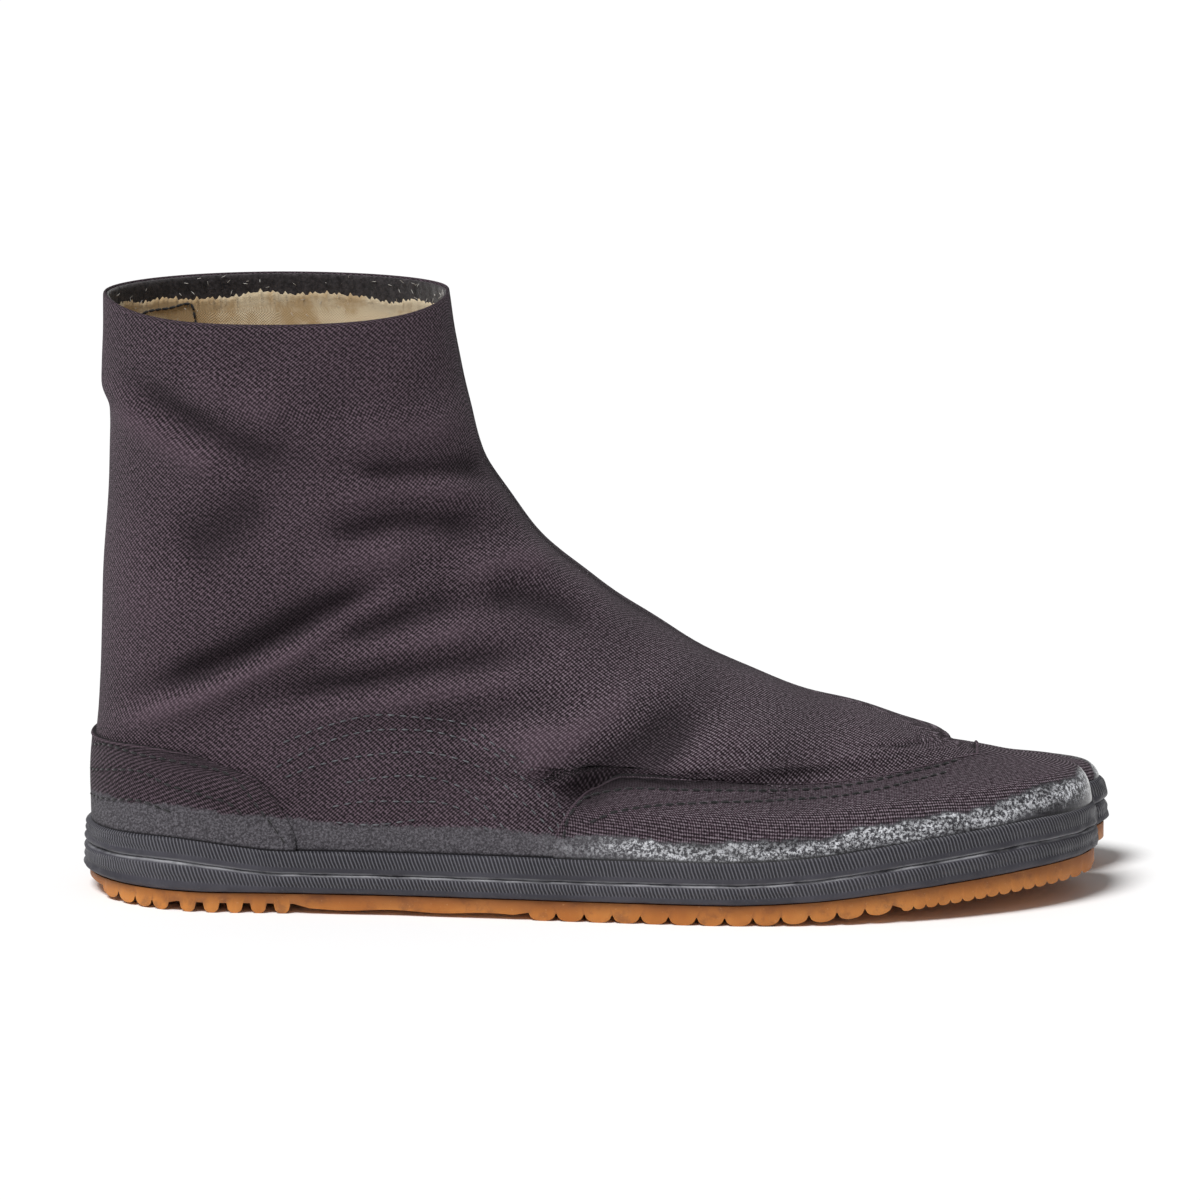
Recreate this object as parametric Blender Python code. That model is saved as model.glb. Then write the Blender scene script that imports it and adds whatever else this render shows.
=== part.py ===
"""An ankle-high jika tabi for the right foot: a split-toed canvas boot on a thin gum rubber sole.

The shoe is laid out from its heel, X = 0, to the tip of the big toe, X = LENGTH, standing on
Z = 0, with the outer side of the foot at -Y and the inner side at +Y. At the end every piece is
moved so that the origin lies under the middle of the shoe. All lengths are in metres.
"""

import math

import bmesh
import bpy
import numpy as np

MM = 0.001

# Driving sizes of the shoe.
LENGTH = 272 * MM
OUTER_HALF_WIDTH = 49.5 * MM
INNER_HALF_WIDTH = 47.0 * MM
COLLAR_HEIGHT = 159 * MM
COLLAR_HALF_WIDTH = 30.5 * MM
COLLAR_DIP = 4.0 * MM
ANKLE_HALF_WIDTH = 32.0 * MM
TOE_SPRING = 6.8 * MM

# Walls, layers and the clearance between pieces that lie on each other.
CANVAS_WALL = 1.6 * MM
OVERLAY_WALL = 1.0 * MM
FOXING_WALL = 1.6 * MM
LOWER_BAND_SWELL = 0.5 * MM
INSOLE_THICKNESS = 2.5 * MM
CLEARANCE = 0.3 * MM

# The split between the big toe and the other four. Its depth is measured back from the tip.
SPLIT_Y = 10.0 * MM
SPLIT_DEPTH = 50 * MM
SPLIT_ROOT_X = LENGTH - SPLIT_DEPTH
SPLIT_HALF_GAP = 3.7 * MM
TOE_STEP = 4.0 * MM
OUTER_TOE_AXIS_Y = -3.5 * MM
INNER_TOE_AXIS_Y = 25.0 * MM
TOE_CORNER_RUN = 10 * MM
# How much lower the upper is over the big toe than over the other four, as a share of its height.
INNER_TOE_SINK = 0.25

# The gum rubber sole.
SOLE_TOP_HEIGHT = 5.3 * MM
SOLE_EDGE_INSET = 0.6 * MM
ARCH_LIFT = 1.4 * MM
HEEL_LUG_DEPTH = 2.7 * MM
FOREFOOT_LUG_DEPTH = 2.1 * MM
TOE_LUG_DEPTH = 1.0 * MM
HEEL_BEVEL = 1.6 * MM

# Heights of the rubber foxing above the sole, and of the overlays above the floor. The counter
# reaches forward from the heel and the guard back from the tip of the toes.
UPPER_BAND_HEIGHT = 5.9 * MM
COUNTER_HEIGHT = 42.5 * MM
COUNTER_REACH = 57 * MM
GUARD_REACH = 149 * MM
GUARD_RIDGE_REACH = 36 * MM
GUARD_START_X = LENGTH - GUARD_REACH
GUARD_RIDGE_X = LENGTH - GUARD_RIDGE_REACH
GUARD_SHOULDER_HEIGHT = 37.5 * MM
GUARD_EDGE_LEAN = 0.8
COUNTER_EDGE_LEAN = 0.05
TRIM_MIDDLE = 2 * MM
FACING_HEIGHT = 5.5 * MM
FACING_WALL = 0.8 * MM

# Facets: columns round the shoe and loops from the sole to the collar.
SIDE_COLUMNS = 23
SPLIT_COLUMNS = 7
LOOPS = 22

# Half widths of the foot along the sole. Station is a share of LENGTH, outer of
# OUTER_HALF_WIDTH and inner of INNER_HALF_WIDTH.
FOOT_WIDTHS = [
    dict(station=0.00, outer=0.630, inner=0.650),
    dict(station=0.15, outer=0.645, inner=0.655),
    dict(station=0.28, outer=0.700, inner=0.625),
    dict(station=0.40, outer=0.790, inner=0.620),
    dict(station=0.52, outer=0.885, inner=0.715),
    dict(station=0.63, outer=0.955, inner=0.870),
    dict(station=0.72, outer=0.965, inner=0.950),
    dict(station=0.82, outer=0.955, inner=0.955),
    dict(station=0.92, outer=0.940, inner=0.940),
    dict(station=1.00, outer=0.930, inner=0.930),
]

# The loops of the upper from the sole to the collar, by the point where each one crosses the
# ridge of the foot. Front is a share of LENGTH, rise of COLLAR_HEIGHT above the sole, and back
# of COLLAR_HEIGHT above the sole at the heel. Set_in is how far the heel stands forward, as a
# share of LENGTH. Taper is the length of the rounded nose, axis the ridge's distance inward and
# flat the half width of the nose's blunt front, as shares of LENGTH. Keep is the share of the
# foot's width, and shaft how far the loop has turned from a foot's outline to the shaft's oval.
RIDGE = [
    dict(front=0.9908, rise=0.000, back=0.000, set_in=0.0092, taper=0.00, axis=0.037, flat=0.046, keep=0.990, shaft=0.00),
    dict(front=0.9912, rise=0.060, back=0.075, set_in=0.0084, taper=0.00, axis=0.037, flat=0.046, keep=1.000, shaft=0.00),
    dict(front=0.9885, rise=0.098, back=0.110, set_in=0.0080, taper=0.05, axis=0.037, flat=0.044, keep=0.990, shaft=0.00),
    dict(front=0.9790, rise=0.125, back=0.138, set_in=0.0080, taper=0.16, axis=0.037, flat=0.042, keep=0.985, shaft=0.00),
    dict(front=0.9540, rise=0.138, back=0.160, set_in=0.0083, taper=0.28, axis=0.037, flat=0.040, keep=0.980, shaft=0.00),
    dict(front=0.9110, rise=0.154, back=0.184, set_in=0.0090, taper=0.36, axis=0.037, flat=0.036, keep=0.975, shaft=0.00),
    dict(front=0.8540, rise=0.192, back=0.215, set_in=0.0104, taper=0.40, axis=0.036, flat=0.028, keep=0.965, shaft=0.00),
    dict(front=0.7760, rise=0.245, back=0.260, set_in=0.0130, taper=0.41, axis=0.032, flat=0.018, keep=0.950, shaft=0.03),
    dict(front=0.6980, rise=0.296, back=0.315, set_in=0.0146, taper=0.42, axis=0.027, flat=0.012, keep=0.935, shaft=0.10),
    dict(front=0.6210, rise=0.352, back=0.375, set_in=0.0165, taper=0.42, axis=0.022, flat=0.010, keep=0.925, shaft=0.24),
    dict(front=0.5430, rise=0.430, back=0.445, set_in=0.0190, taper=0.41, axis=0.016, flat=0.010, keep=0.920, shaft=0.46),
    dict(front=0.4660, rise=0.522, back=0.530, set_in=0.0212, taper=0.37, axis=0.010, flat=0.010, keep=0.920, shaft=0.72),
    dict(front=0.4270, rise=0.597, back=0.605, set_in=0.0232, taper=0.32, axis=0.007, flat=0.010, keep=0.930, shaft=0.88),
    dict(front=0.3890, rise=0.697, back=0.700, set_in=0.0252, taper=0.25, axis=0.004, flat=0.010, keep=0.945, shaft=1.00),
    dict(front=0.3755, rise=0.770, back=0.776, set_in=0.0280, taper=0.21, axis=0.002, flat=0.010, keep=0.960, shaft=1.00),
    dict(front=0.3680, rise=0.820, back=0.825, set_in=0.0200, taper=0.19, axis=0.001, flat=0.010, keep=0.975, shaft=1.00),
    dict(front=0.3555, rise=0.967, back=0.965, set_in=0.0215, taper=0.17, axis=0.000, flat=0.010, keep=1.000, shaft=1.00),
]

# How far the sole's underside leaves the floor, as a share of TOE_SPRING.
SPRING = [
    dict(station=0.00, lift=0.00),
    dict(station=0.62, lift=0.00),
    dict(station=0.70, lift=0.13),
    dict(station=0.78, lift=0.42),
    dict(station=0.86, lift=0.70),
    dict(station=0.93, lift=0.90),
    dict(station=1.00, lift=1.00),
]

# Height of the foxing above the sole along the shoe, as a share of COLLAR_HEIGHT.
FOXING_HEIGHTS = [
    dict(station=0.00, height=0.082),
    dict(station=0.08, height=0.088),
    dict(station=0.20, height=0.070),
    dict(station=0.38, height=0.070),
    dict(station=0.64, height=0.071),
    dict(station=0.80, height=0.078),
    dict(station=0.90, height=0.080),
    dict(station=1.00, height=0.073),
]

# The free edge of each overlay seen from the side, as shares of its reach and its height. Shoulder
# is the half width at which the edge has that height, as a share of OUTER_HALF_WIDTH: from there
# it leans outward and up, square to the rounded shoulder of the foot.
COUNTER_EDGE = [
    dict(reach=-0.20, height=0.980, shoulder=0.65),
    dict(reach=0.25, height=1.000, shoulder=0.65),
    dict(reach=0.62, height=0.960, shoulder=0.66),
    dict(reach=0.77, height=0.880, shoulder=0.66),
    dict(reach=0.88, height=0.730, shoulder=0.67),
    dict(reach=0.96, height=0.560, shoulder=0.67),
    dict(reach=1.00, height=0.430, shoulder=0.68),
]
GUARD_EDGE = [
    dict(reach=0.000, height=0.480, shoulder=0.82),
    dict(reach=0.045, height=0.720, shoulder=0.82),
    dict(reach=0.100, height=0.920, shoulder=0.80),
    dict(reach=0.180, height=1.000, shoulder=0.80),
    dict(reach=0.400, height=1.010, shoulder=0.80),
    dict(reach=0.600, height=0.990, shoulder=0.76),
    dict(reach=0.720, height=1.000, shoulder=0.70),
    dict(reach=0.850, height=1.060, shoulder=0.58),
    dict(reach=1.000, height=1.160, shoulder=0.40),
]

# Groups of lugs from heel to toe: their first and last place as shares of LENGTH and their number.
LUGS = [
    dict(first=0.018, last=0.085, count=4, depth=HEEL_LUG_DEPTH * 0.8),
    dict(first=0.092, last=0.206, count=5, depth=HEEL_LUG_DEPTH),
    dict(first=0.432, last=0.782, count=13, depth=FOREFOOT_LUG_DEPTH),
    dict(first=0.790, last=0.980, count=16, depth=TOE_LUG_DEPTH),
]

SHAFT_BACK_ROUND = 46 * MM
HEEL_ROUND = 36 * MM
OUTER_TOE_TAPER = 86 * MM
INNER_TOE_TAPER = 42 * MM

GUM = dict(name="gum rubber", colour=(0.52, 0.21, 0.055, 1.0), roughness=0.5)
RUBBER = dict(name="dark rubber", colour=(0.055, 0.055, 0.062, 1.0), roughness=0.45)
CANVAS = dict(name="aubergine twill", colour=(0.060, 0.045, 0.058, 1.0), roughness=0.85)
LINING = dict(name="unbleached cotton", colour=(0.56, 0.44, 0.28, 1.0), roughness=0.9)
TAPE = dict(name="black tape", colour=(0.016, 0.015, 0.018, 1.0), roughness=0.95)


def read(table, column, place, along="station"):
    """A table's column at a place, on a smooth curve that never overshoots its rows."""
    xs = np.array([row[along] for row in table], float)
    ys = np.array([row[column] for row in table], float)
    steps = np.diff(xs)
    slopes = np.diff(ys) / steps
    tangents = np.zeros(len(xs))
    tangents[0], tangents[-1] = slopes[0], slopes[-1]
    for k in range(1, len(xs) - 1):
        if slopes[k - 1] * slopes[k] > 0:
            a = 2 * steps[k] + steps[k - 1]
            b = steps[k] + 2 * steps[k - 1]
            tangents[k] = (a + b) / (a / slopes[k - 1] + b / slopes[k])
    place = np.clip(place, xs[0], xs[-1])
    k = np.clip(np.searchsorted(xs, place, side="right") - 1, 0, len(steps) - 1)
    h = steps[k]
    t = (place - xs[k]) / h
    return (
        ys[k] * (1 + 2 * t) * (1 - t) ** 2
        + h * tangents[k] * t * (1 - t) ** 2
        + ys[k + 1] * t * t * (3 - 2 * t)
        + h * tangents[k + 1] * t * t * (t - 1)
    )


def smooth(t):
    """0 to 1 with level ends."""
    t = np.clip(t, 0, 1)
    return t * t * (3 - 2 * t)


def rounded(distance, run):
    """A quarter of an ellipse: 0 at its end, 1 from run onwards."""
    if run < MM:
        return np.ones_like(np.asarray(distance, float))
    left = 1 - np.clip(np.asarray(distance, float) / run, 0, 1)
    return np.sqrt(1 - left * left)


def spring(x):
    return TOE_SPRING * read(SPRING, "lift", np.asarray(x, float) / LENGTH)


def sole_top(x):
    return SOLE_TOP_HEIGHT + spring(x)


def feather(x):
    """Height of the upper's lower edge, just clear of the sole."""
    return sole_top(x) + CLEARANCE


def foxing_height(x):
    return COLLAR_HEIGHT * read(FOXING_HEIGHTS, "height", np.asarray(x, float) / LENGTH)


def loop_sizes(place):
    """The row of RIDGE at a place from 0, the sole, to 1, the collar."""
    rows = [dict(row, place=k / (len(RIDGE) - 1)) for k, row in enumerate(RIDGE)]
    return {c: float(read(rows, c, place, "place")) for c in RIDGE[0]}


def half_width(x, side, size):
    """Half width of a loop at x on one side, before its ends are rounded."""
    column, full = ("outer", OUTER_HALF_WIDTH) if side < 0 else ("inner", INNER_HALF_WIDTH)
    foot = full * read(FOOT_WIDTHS, column, x / LENGTH) * size["keep"]
    over_collar = (size["rise"] - RIDGE[-4]["rise"]) / (RIDGE[-1]["rise"] - RIDGE[-4]["rise"])
    shaft = ANKLE_HALF_WIDTH + (COLLAR_HALF_WIDTH - ANKLE_HALF_WIDTH) * smooth(over_collar)
    return foot + (shaft - foot) * size["shaft"]


def openness(size):
    """How deep the loop is split at its front: 1 through the toes, 0 on the foot."""
    depth = size["front"] * LENGTH - SPLIT_ROOT_X
    return float(smooth(depth / (2.2 * TOE_CORNER_RUN)))


def side_curve(side, size, count, end):
    """A loop in plan from the heel to its nose on one side, up to a share of the way round."""
    back = size["set_in"] * LENGTH
    front = size["front"] * LENGTH
    split = openness(size)
    if side < 0:
        front -= TOE_STEP * split
    toe_axis = OUTER_TOE_AXIS_Y if side < 0 else INNER_TOE_AXIS_Y
    ridge_axis = size["axis"] * LENGTH + side * size["flat"] * LENGTH
    axis_at_nose = ridge_axis + (toe_axis - ridge_axis) * split
    angle = math.pi * end * np.arange(count + 1) / count
    share = (1 - np.cos(angle)) / 2
    x = back + (front - back) * share
    axis = axis_at_nose * smooth(share)
    toe_run = OUTER_TOE_TAPER if side < 0 else INNER_TOE_TAPER
    run = toe_run * smooth(split) * (1 - size["taper"]) + size["taper"] * LENGTH
    heel_run = HEEL_ROUND + (SHAFT_BACK_ROUND - HEEL_ROUND) * size["shaft"]
    ends = rounded(x - back, heel_run) * rounded(front - x, run)
    y = axis + side * (half_width(x, side, size) - side * axis) * ends
    return np.stack([x, y], axis=1)


def even(points, count):
    """count + 1 points evenly along a polyline."""
    steps = np.linalg.norm(np.diff(points, axis=0), axis=1)
    run = np.concatenate([[0], np.cumsum(steps)])
    at = np.linspace(0, run[-1], count + 1)
    return np.stack([np.interp(at, run, points[:, k]) for k in range(2)], axis=1)


def split_wall(side, size):
    """A loop in plan from the tip of one toe pouch, round its corner, to the root of the split."""
    centre = SPLIT_Y + (size["axis"] * LENGTH - SPLIT_Y) * (1 - openness(size))
    whole = side_curve(side, size, SIDE_COLUMNS * 8, 1.0)
    keep_end = nose_start(size)
    start = int(round(keep_end * (len(whole) - 1)))
    nose = np.vstack([whole[start:], [[whole[-1, 0], centre]]])
    closed = even(nose, SPLIT_COLUMNS)
    tip_x, tip_y = whole[-1]
    depth = max(tip_x - SPLIT_ROOT_X, 0)
    gap = SPLIT_HALF_GAP + split_flare(size)
    corner = min(TOE_CORNER_RUN, 0.5 * depth)
    root = min(gap, 0.5 * depth)
    wall_y = SPLIT_Y + side * gap
    points = [(tip_x, tip_y)]
    for turn in (30, 60, 90):
        a = math.radians(turn)
        points.append((tip_x - corner * (1 - math.cos(a)), tip_y + (wall_y - tip_y) * math.sin(a)))
    root_x = SPLIT_ROOT_X + root
    points.append(((tip_x - corner + root_x) / 2, wall_y))
    for turn in (0, 45, 90):
        a = math.radians(turn)
        points.append((root_x - root * math.sin(a), SPLIT_Y + side * gap * math.cos(a)))
    opened = np.array(points)
    return closed + (opened - closed) * openness(size)


def split_flare(size):
    """The pouches round over into the split towards their tops."""
    top = RIDGE[5]["rise"]
    return 5.5 * MM * float(np.clip(size["rise"] / top, 0, 1)) ** 5


def nose_start(size):
    """Share of the way round at which the columns of the split take over from the side's."""
    return 1 - 0.2 * (1 - openness(size))


def loop_plan(size):
    """A whole loop in plan: outer side, split, inner side, back to the heel."""
    end = nose_start(size)
    outer = side_curve(-1, size, SIDE_COLUMNS, end)
    inner = side_curve(1, size, SIDE_COLUMNS, end)
    outer_wall = split_wall(-1, size)
    inner_wall = split_wall(1, size)
    return np.vstack([outer, outer_wall[1:], inner_wall[::-1][1:], inner[::-1][1:-1]])


def loop_at(place):
    """The points of a loop in space, at a place from 0, the sole, to 1, the collar."""
    size = loop_sizes(place)
    plan = loop_plan(size)
    x = plan[:, 0]
    back, front = size["set_in"] * LENGTH, size["front"] * LENGTH
    share = np.clip((x - back) / (front - back), 0, 1)
    rise_back = size["back"] * COLLAR_HEIGHT
    rise_front = size["rise"] * COLLAR_HEIGHT
    rise = rise_back + (rise_front - rise_back) * share ** 2
    sink = INNER_TOE_SINK * smooth((x / LENGTH - 0.45) / 0.45) * smooth(plan[:, 1] / INNER_TOE_AXIS_Y)
    z = feather(x) + rise * (1 - sink)
    near_collar = smooth((size["rise"] - RIDGE[-3]["rise"]) / (RIDGE[-1]["rise"] - RIDGE[-3]["rise"]))
    outer = np.clip(-plan[:, 1] / COLLAR_HALF_WIDTH, 0, 1)
    z = z - COLLAR_DIP * near_collar * smooth(outer)
    return np.column_stack([plan, z])


def form_grid():
    """The outer face of the upper: loops by columns of points, and its outward normals."""
    places = np.linspace(0, 1, LOOPS)
    grid = np.array([loop_at(p) for p in places])
    along = np.roll(grid, -1, axis=1) - np.roll(grid, 1, axis=1)
    up = np.empty_like(grid)
    up[1:-1] = grid[2:] - grid[:-2]
    up[0] = grid[1] - grid[0]
    up[-1] = grid[-1] - grid[-2]
    normals = np.cross(along, up)
    normals /= np.linalg.norm(normals, axis=2, keepdims=True)
    return grid, normals


GRID, NORMALS = form_grid()
COLUMNS = GRID.shape[1]


def on_column(column, level, offset):
    """A point on one column of the form at a real-valued loop number, moved outward by offset."""
    low = int(np.clip(math.floor(level), 0, LOOPS - 2))
    t = level - low
    point = GRID[low, column] * (1 - t) + GRID[low + 1, column] * t
    normal = NORMALS[low, column] * (1 - t) + NORMALS[low + 1, column] * t
    normal /= np.linalg.norm(normal)
    return point + normal * offset


def level_where(column, inside):
    """The loop number up to which a column stays inside an edge."""
    low, high = 0.0, float(LOOPS - 1)
    for level in np.linspace(0, LOOPS - 1, (LOOPS - 1) * 4 + 1):
        if not inside(on_column(column, level, 0)):
            high = level
            break
        low = level
    for _ in range(12):
        middle = (low + high) / 2
        if inside(on_column(column, middle, 0)):
            low = middle
        else:
            high = middle
    return low


def foxing_level(column, below):
    """The loop number at a height below the foxing's upper edge."""
    return level_where(column, lambda p: p[2] - feather(p[0]) <= foxing_height(p[0]) - below)


def material(look):
    found = bpy.data.materials.get(look["name"])
    if found:
        return found
    made = bpy.data.materials.new(look["name"])
    made.use_nodes = True
    shader = made.node_tree.nodes["Principled BSDF"]
    shader.inputs["Base Color"].default_value = look["colour"]
    shader.inputs["Roughness"].default_value = look["roughness"]
    made.diffuse_color = look["colour"]
    return made


def object_from(name, points, faces, look, collection):
    mesh = bpy.data.meshes.new(name)
    mesh.from_pydata([tuple(p) for p in points], [], faces)
    mesh.materials.append(material(look))
    made = bpy.data.objects.new(name, mesh)
    collection.objects.link(made)
    return made


def sheet_faces(rows, columns, start):
    """Triangles of a closed band of points, cut the same way on every band of the same form.

    The columns lean back as they rise, so the cuts lean back too: one way on each side.
    """
    faces = []
    for r in range(rows - 1):
        for c in range(columns):
            low, beside = start + r * columns + c, start + r * columns + (c + 1) % columns
            high, beside_high = low + columns, beside + columns
            if c < columns // 2:
                faces += [(low, beside, beside_high), (low, beside_high, high)]
            else:
                faces += [(low, beside, high), (beside, beside_high, high)]
    return faces


def shell(name, outer, inner, look, collection):
    """A band round the shoe between two faces of rows by columns, closed along both edges."""
    rows, columns = len(outer), len(outer[0])
    count = rows * columns
    faces = sheet_faces(rows, columns, 0)
    faces += [face[::-1] for face in sheet_faces(rows, columns, count)]
    for c in range(columns):
        d = (c + 1) % columns
        faces.append((d, c, c + count, d + count))
        c, d = c + count - columns, d + count - columns
        faces.append((c, d, d + count, c + count))
    points = np.concatenate([np.reshape(outer, (-1, 3)), np.reshape(inner, (-1, 3))])
    made = object_from(name, points, faces, look, collection)
    made.data.shade_smooth()
    return made


def make_upper(collection):
    shell("upper", GRID, GRID - NORMALS * CANVAS_WALL, CANVAS, collection)


def band(name, lows, highs, wall, swells, look, collection):
    """A band between two loop numbers a column, with its inner face just clear of the upper.

    Swells says how far each row of the outer face stands proud of the wall.
    """
    inner, outer = [], []
    for share, swell in swells:
        levels = [lows[c] + (highs[c] - lows[c]) * share for c in range(COLUMNS)]
        inner.append([on_column(c, levels[c], CLEARANCE) for c in range(COLUMNS)])
        outer.append([on_column(c, levels[c], CLEARANCE + wall + swell) for c in range(COLUMNS)])
    shell(name, outer, inner, look, collection)


def make_foxing(collection):
    """Two rubber tapes round the foot, one above the other."""
    tops = [foxing_level(c, 0) for c in range(COLUMNS)]
    parting = [foxing_level(c, UPPER_BAND_HEIGHT) for c in range(COLUMNS)]
    starts = [foxing_level(c, UPPER_BAND_HEIGHT - CLEARANCE) for c in range(COLUMNS)]
    swell = LOWER_BAND_SWELL
    lower = ((0.0, 0.2 * swell), (0.45, swell), (1.0, 0.3 * swell))
    upper = ((0.0, 0.0), (0.5, 0.0), (1.0, 0.0))
    band("foxing_lower", [0] * COLUMNS, parting, FOXING_WALL, lower, RUBBER, collection)
    band("foxing_upper", starts, tops, FOXING_WALL, upper, RUBBER, collection)


def over_foxing(x):
    """Height at which an overlay ends just above the foxing."""
    return float(feather(x) + foxing_height(x) + 4 * CLEARANCE)


def overlay_edge(table, start, reach, height, stations):
    """Points of an overlay's free edge: x, height, and the half width at which it is that high."""
    rows = []
    for x in stations:
        place = (x - start) / reach
        high = height * read(table, "height", place, "reach")
        rows.append((x, float(high), float(OUTER_HALF_WIDTH * read(table, "shoulder", place, "reach"))))
    return rows


def overlay(name, low, edge, lean, loops, collection, cutters):
    """A sheet laid over the upper's own form, trimmed below by a line and above by a leaning edge."""
    inner = GRID[loops] + NORMALS[loops] * CLEARANCE
    outer = inner + NORMALS[loops] * OVERLAY_WALL
    sheet = shell(name, outer, inner, CANVAS, collection)
    cutter = trim_block(name + " outline", low, edge, lean, cutters)
    cut_to(sheet, cutter, folded=True)


def trim_block(name, low, edge, lean, cutters):
    """A block across the shoe between two lines, its top sloping down from each side to the middle."""
    width = OUTER_HALF_WIDTH * 1.5
    count = len(low) + len(edge)
    columns = []
    for x, z in low:
        columns.append((x, TRIM_MIDDLE, z, z))
    for x, z, shoulder in edge:
        lowest = over_foxing(x) + MM
        y = max(TRIM_MIDDLE, shoulder - (z - lowest) / lean)
        columns.append((x, y, z + lean * (y - shoulder), z + lean * (width - shoulder)))
    points = [(x, -width, out) for x, y, middle, out in columns]
    points += [(x, -y, middle) for x, y, middle, out in columns]
    points += [(x, y, middle) for x, y, middle, out in columns]
    points += [(x, width, out) for x, y, middle, out in columns]
    faces = [tuple(range(count)), tuple(range(4 * count - 1, 3 * count - 1, -1))]
    for station in (0, count, 2 * count):
        for k in range(count):
            a, b = station + k, station + (k + 1) % count
            faces += [(a, b, b + count), (a, b + count, a + count)]
    cutter = object_from(name, points, faces, CANVAS, cutters)
    face_outward(cutter)
    return cutter


def make_overlays(collection, cutters):
    """The heel counter, and the toe guard that wraps both pouches and ends on the ridge."""
    behind, beyond = -0.05 * LENGTH, 1.05 * LENGTH
    low = [(x, over_foxing(x)) for x in np.linspace(behind, 0.985 * COUNTER_REACH, 9)]
    stations = np.concatenate([np.linspace(behind, 0.6 * COUNTER_REACH, 4), np.linspace(0.7, 1, 8) * COUNTER_REACH])
    edge = overlay_edge(COUNTER_EDGE, 0, COUNTER_REACH, COUNTER_HEIGHT, stations[::-1])
    overlay("heel_counter", low, edge, COUNTER_EDGE_LEAN, slice(1, counter_loops()), collection, cutters)

    run = GUARD_RIDGE_X - GUARD_START_X
    low = [(x, over_foxing(x)) for x in np.linspace(GUARD_START_X, beyond, 16)]
    stations = GUARD_START_X + run * np.concatenate([np.linspace(0, 0.2, 7), np.linspace(0.3, 1, 8)])
    edge = overlay_edge(GUARD_EDGE, GUARD_START_X, run, GUARD_SHOULDER_HEIGHT, stations[::-1])
    above = (3 * GUARD_SHOULDER_HEIGHT, edge[0][2])
    edge = [(beyond, *above), (GUARD_RIDGE_X, *above)] + edge
    overlay("toe_guard", low, edge, GUARD_EDGE_LEAN, slice(1, guard_loops()), collection, cutters)


def counter_loops():
    """The loops from the sole to just above the heel counter."""
    return int(np.searchsorted(GRID[:, 0, 2], COUNTER_HEIGHT * 1.1)) + 1


def guard_loops():
    """The loops from the sole to just behind and above the toe guard."""
    nose = SIDE_COLUMNS + SPLIT_COLUMNS
    behind = int(np.argmax(GRID[:, nose, 0] < GUARD_RIDGE_X)) + 1
    side = int(np.searchsorted(GRID[:, SIDE_COLUMNS // 2, 2], GUARD_SHOULDER_HEIGHT * 1.15)) + 1
    return max(behind, side)


def make_facing(collection):
    """The black tape turned over inside the collar."""
    top = LOOPS - 1.05
    bottom = top - FACING_HEIGHT / (GRID[-1, 0, 2] - GRID[-2, 0, 2])
    faces = []
    for inward in (CANVAS_WALL + CLEARANCE, CANVAS_WALL + CLEARANCE + FACING_WALL):
        levels = [bottom + (top - bottom) * share for share in (0.0, 0.5, 1.0)]
        faces.append([[on_column(c, level, -inward) for c in range(COLUMNS)] for level in levels])
    shell("collar_facing", *faces, TAPE, collection)


def plan_outline(offset):
    """The lowest loop in plan, moved outward by offset."""
    normals = NORMALS[0, :, :2] / np.linalg.norm(NORMALS[0, :, :2], axis=1, keepdims=True)
    return GRID[0, :, :2] + normals * offset


def prism(name, outline, low, high, upright, look, collection):
    """A closed outline extruded: upright from a plan, or across the shoe from a side profile."""
    count = len(outline)
    if upright:
        points = [(x, y, low) for x, y in outline] + [(x, y, high) for x, y in outline]
    else:
        points = [(x, low, z) for x, z in outline] + [(x, high, z) for x, z in outline]
    faces = [tuple(range(count)), tuple(range(2 * count - 1, count - 1, -1))]
    faces += [(k, k + count, (k + 1) % count + count, (k + 1) % count) for k in range(count)]
    made = object_from(name, points, faces, look, collection)
    face_outward(made)
    return made


def face_outward(made):
    shape = bmesh.new()
    shape.from_mesh(made.data)
    bmesh.ops.recalc_face_normals(shape, faces=shape.faces)
    shape.to_mesh(made.data)
    shape.free()


def cut_to(piece, cutter, folded=False):
    cut = piece.modifiers.new("outline", "BOOLEAN")
    cut.operation = "INTERSECT"
    cut.solver = "EXACT"
    cut.use_self = folded
    cut.object = cutter
    cutter.hide_render = True
    cutter.display_type = "WIRE"


def lug_profile():
    """The underside of the sole from heel to toe: lugs with flat feet on a plain web."""
    points = []
    for group in LUGS:
        first, last, count = group["first"] * LENGTH, group["last"] * LENGTH, group["count"]
        pitch = (last - first) / count
        for k in range(count):
            start = first + pitch * k
            for share, drop in ((0.0, 0.0), (0.14, 0.62), (0.32, 1.0), (0.66, 1.0), (0.84, 0.62), (0.97, 0.0)):
                points.append((start + pitch * share, group["depth"] * drop, group["depth"]))
    profile = []
    for x, drop, depth in points:
        foot = spring(x) + heel_lift(x)
        profile.append((x, foot + depth - drop))
    return profile


def heel_lift(x):
    """The sole is worn round at the back of the heel."""
    back = 0.10 * LENGTH
    return HEEL_BEVEL * np.clip((back - x) / back, 0, 1) ** 2


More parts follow.
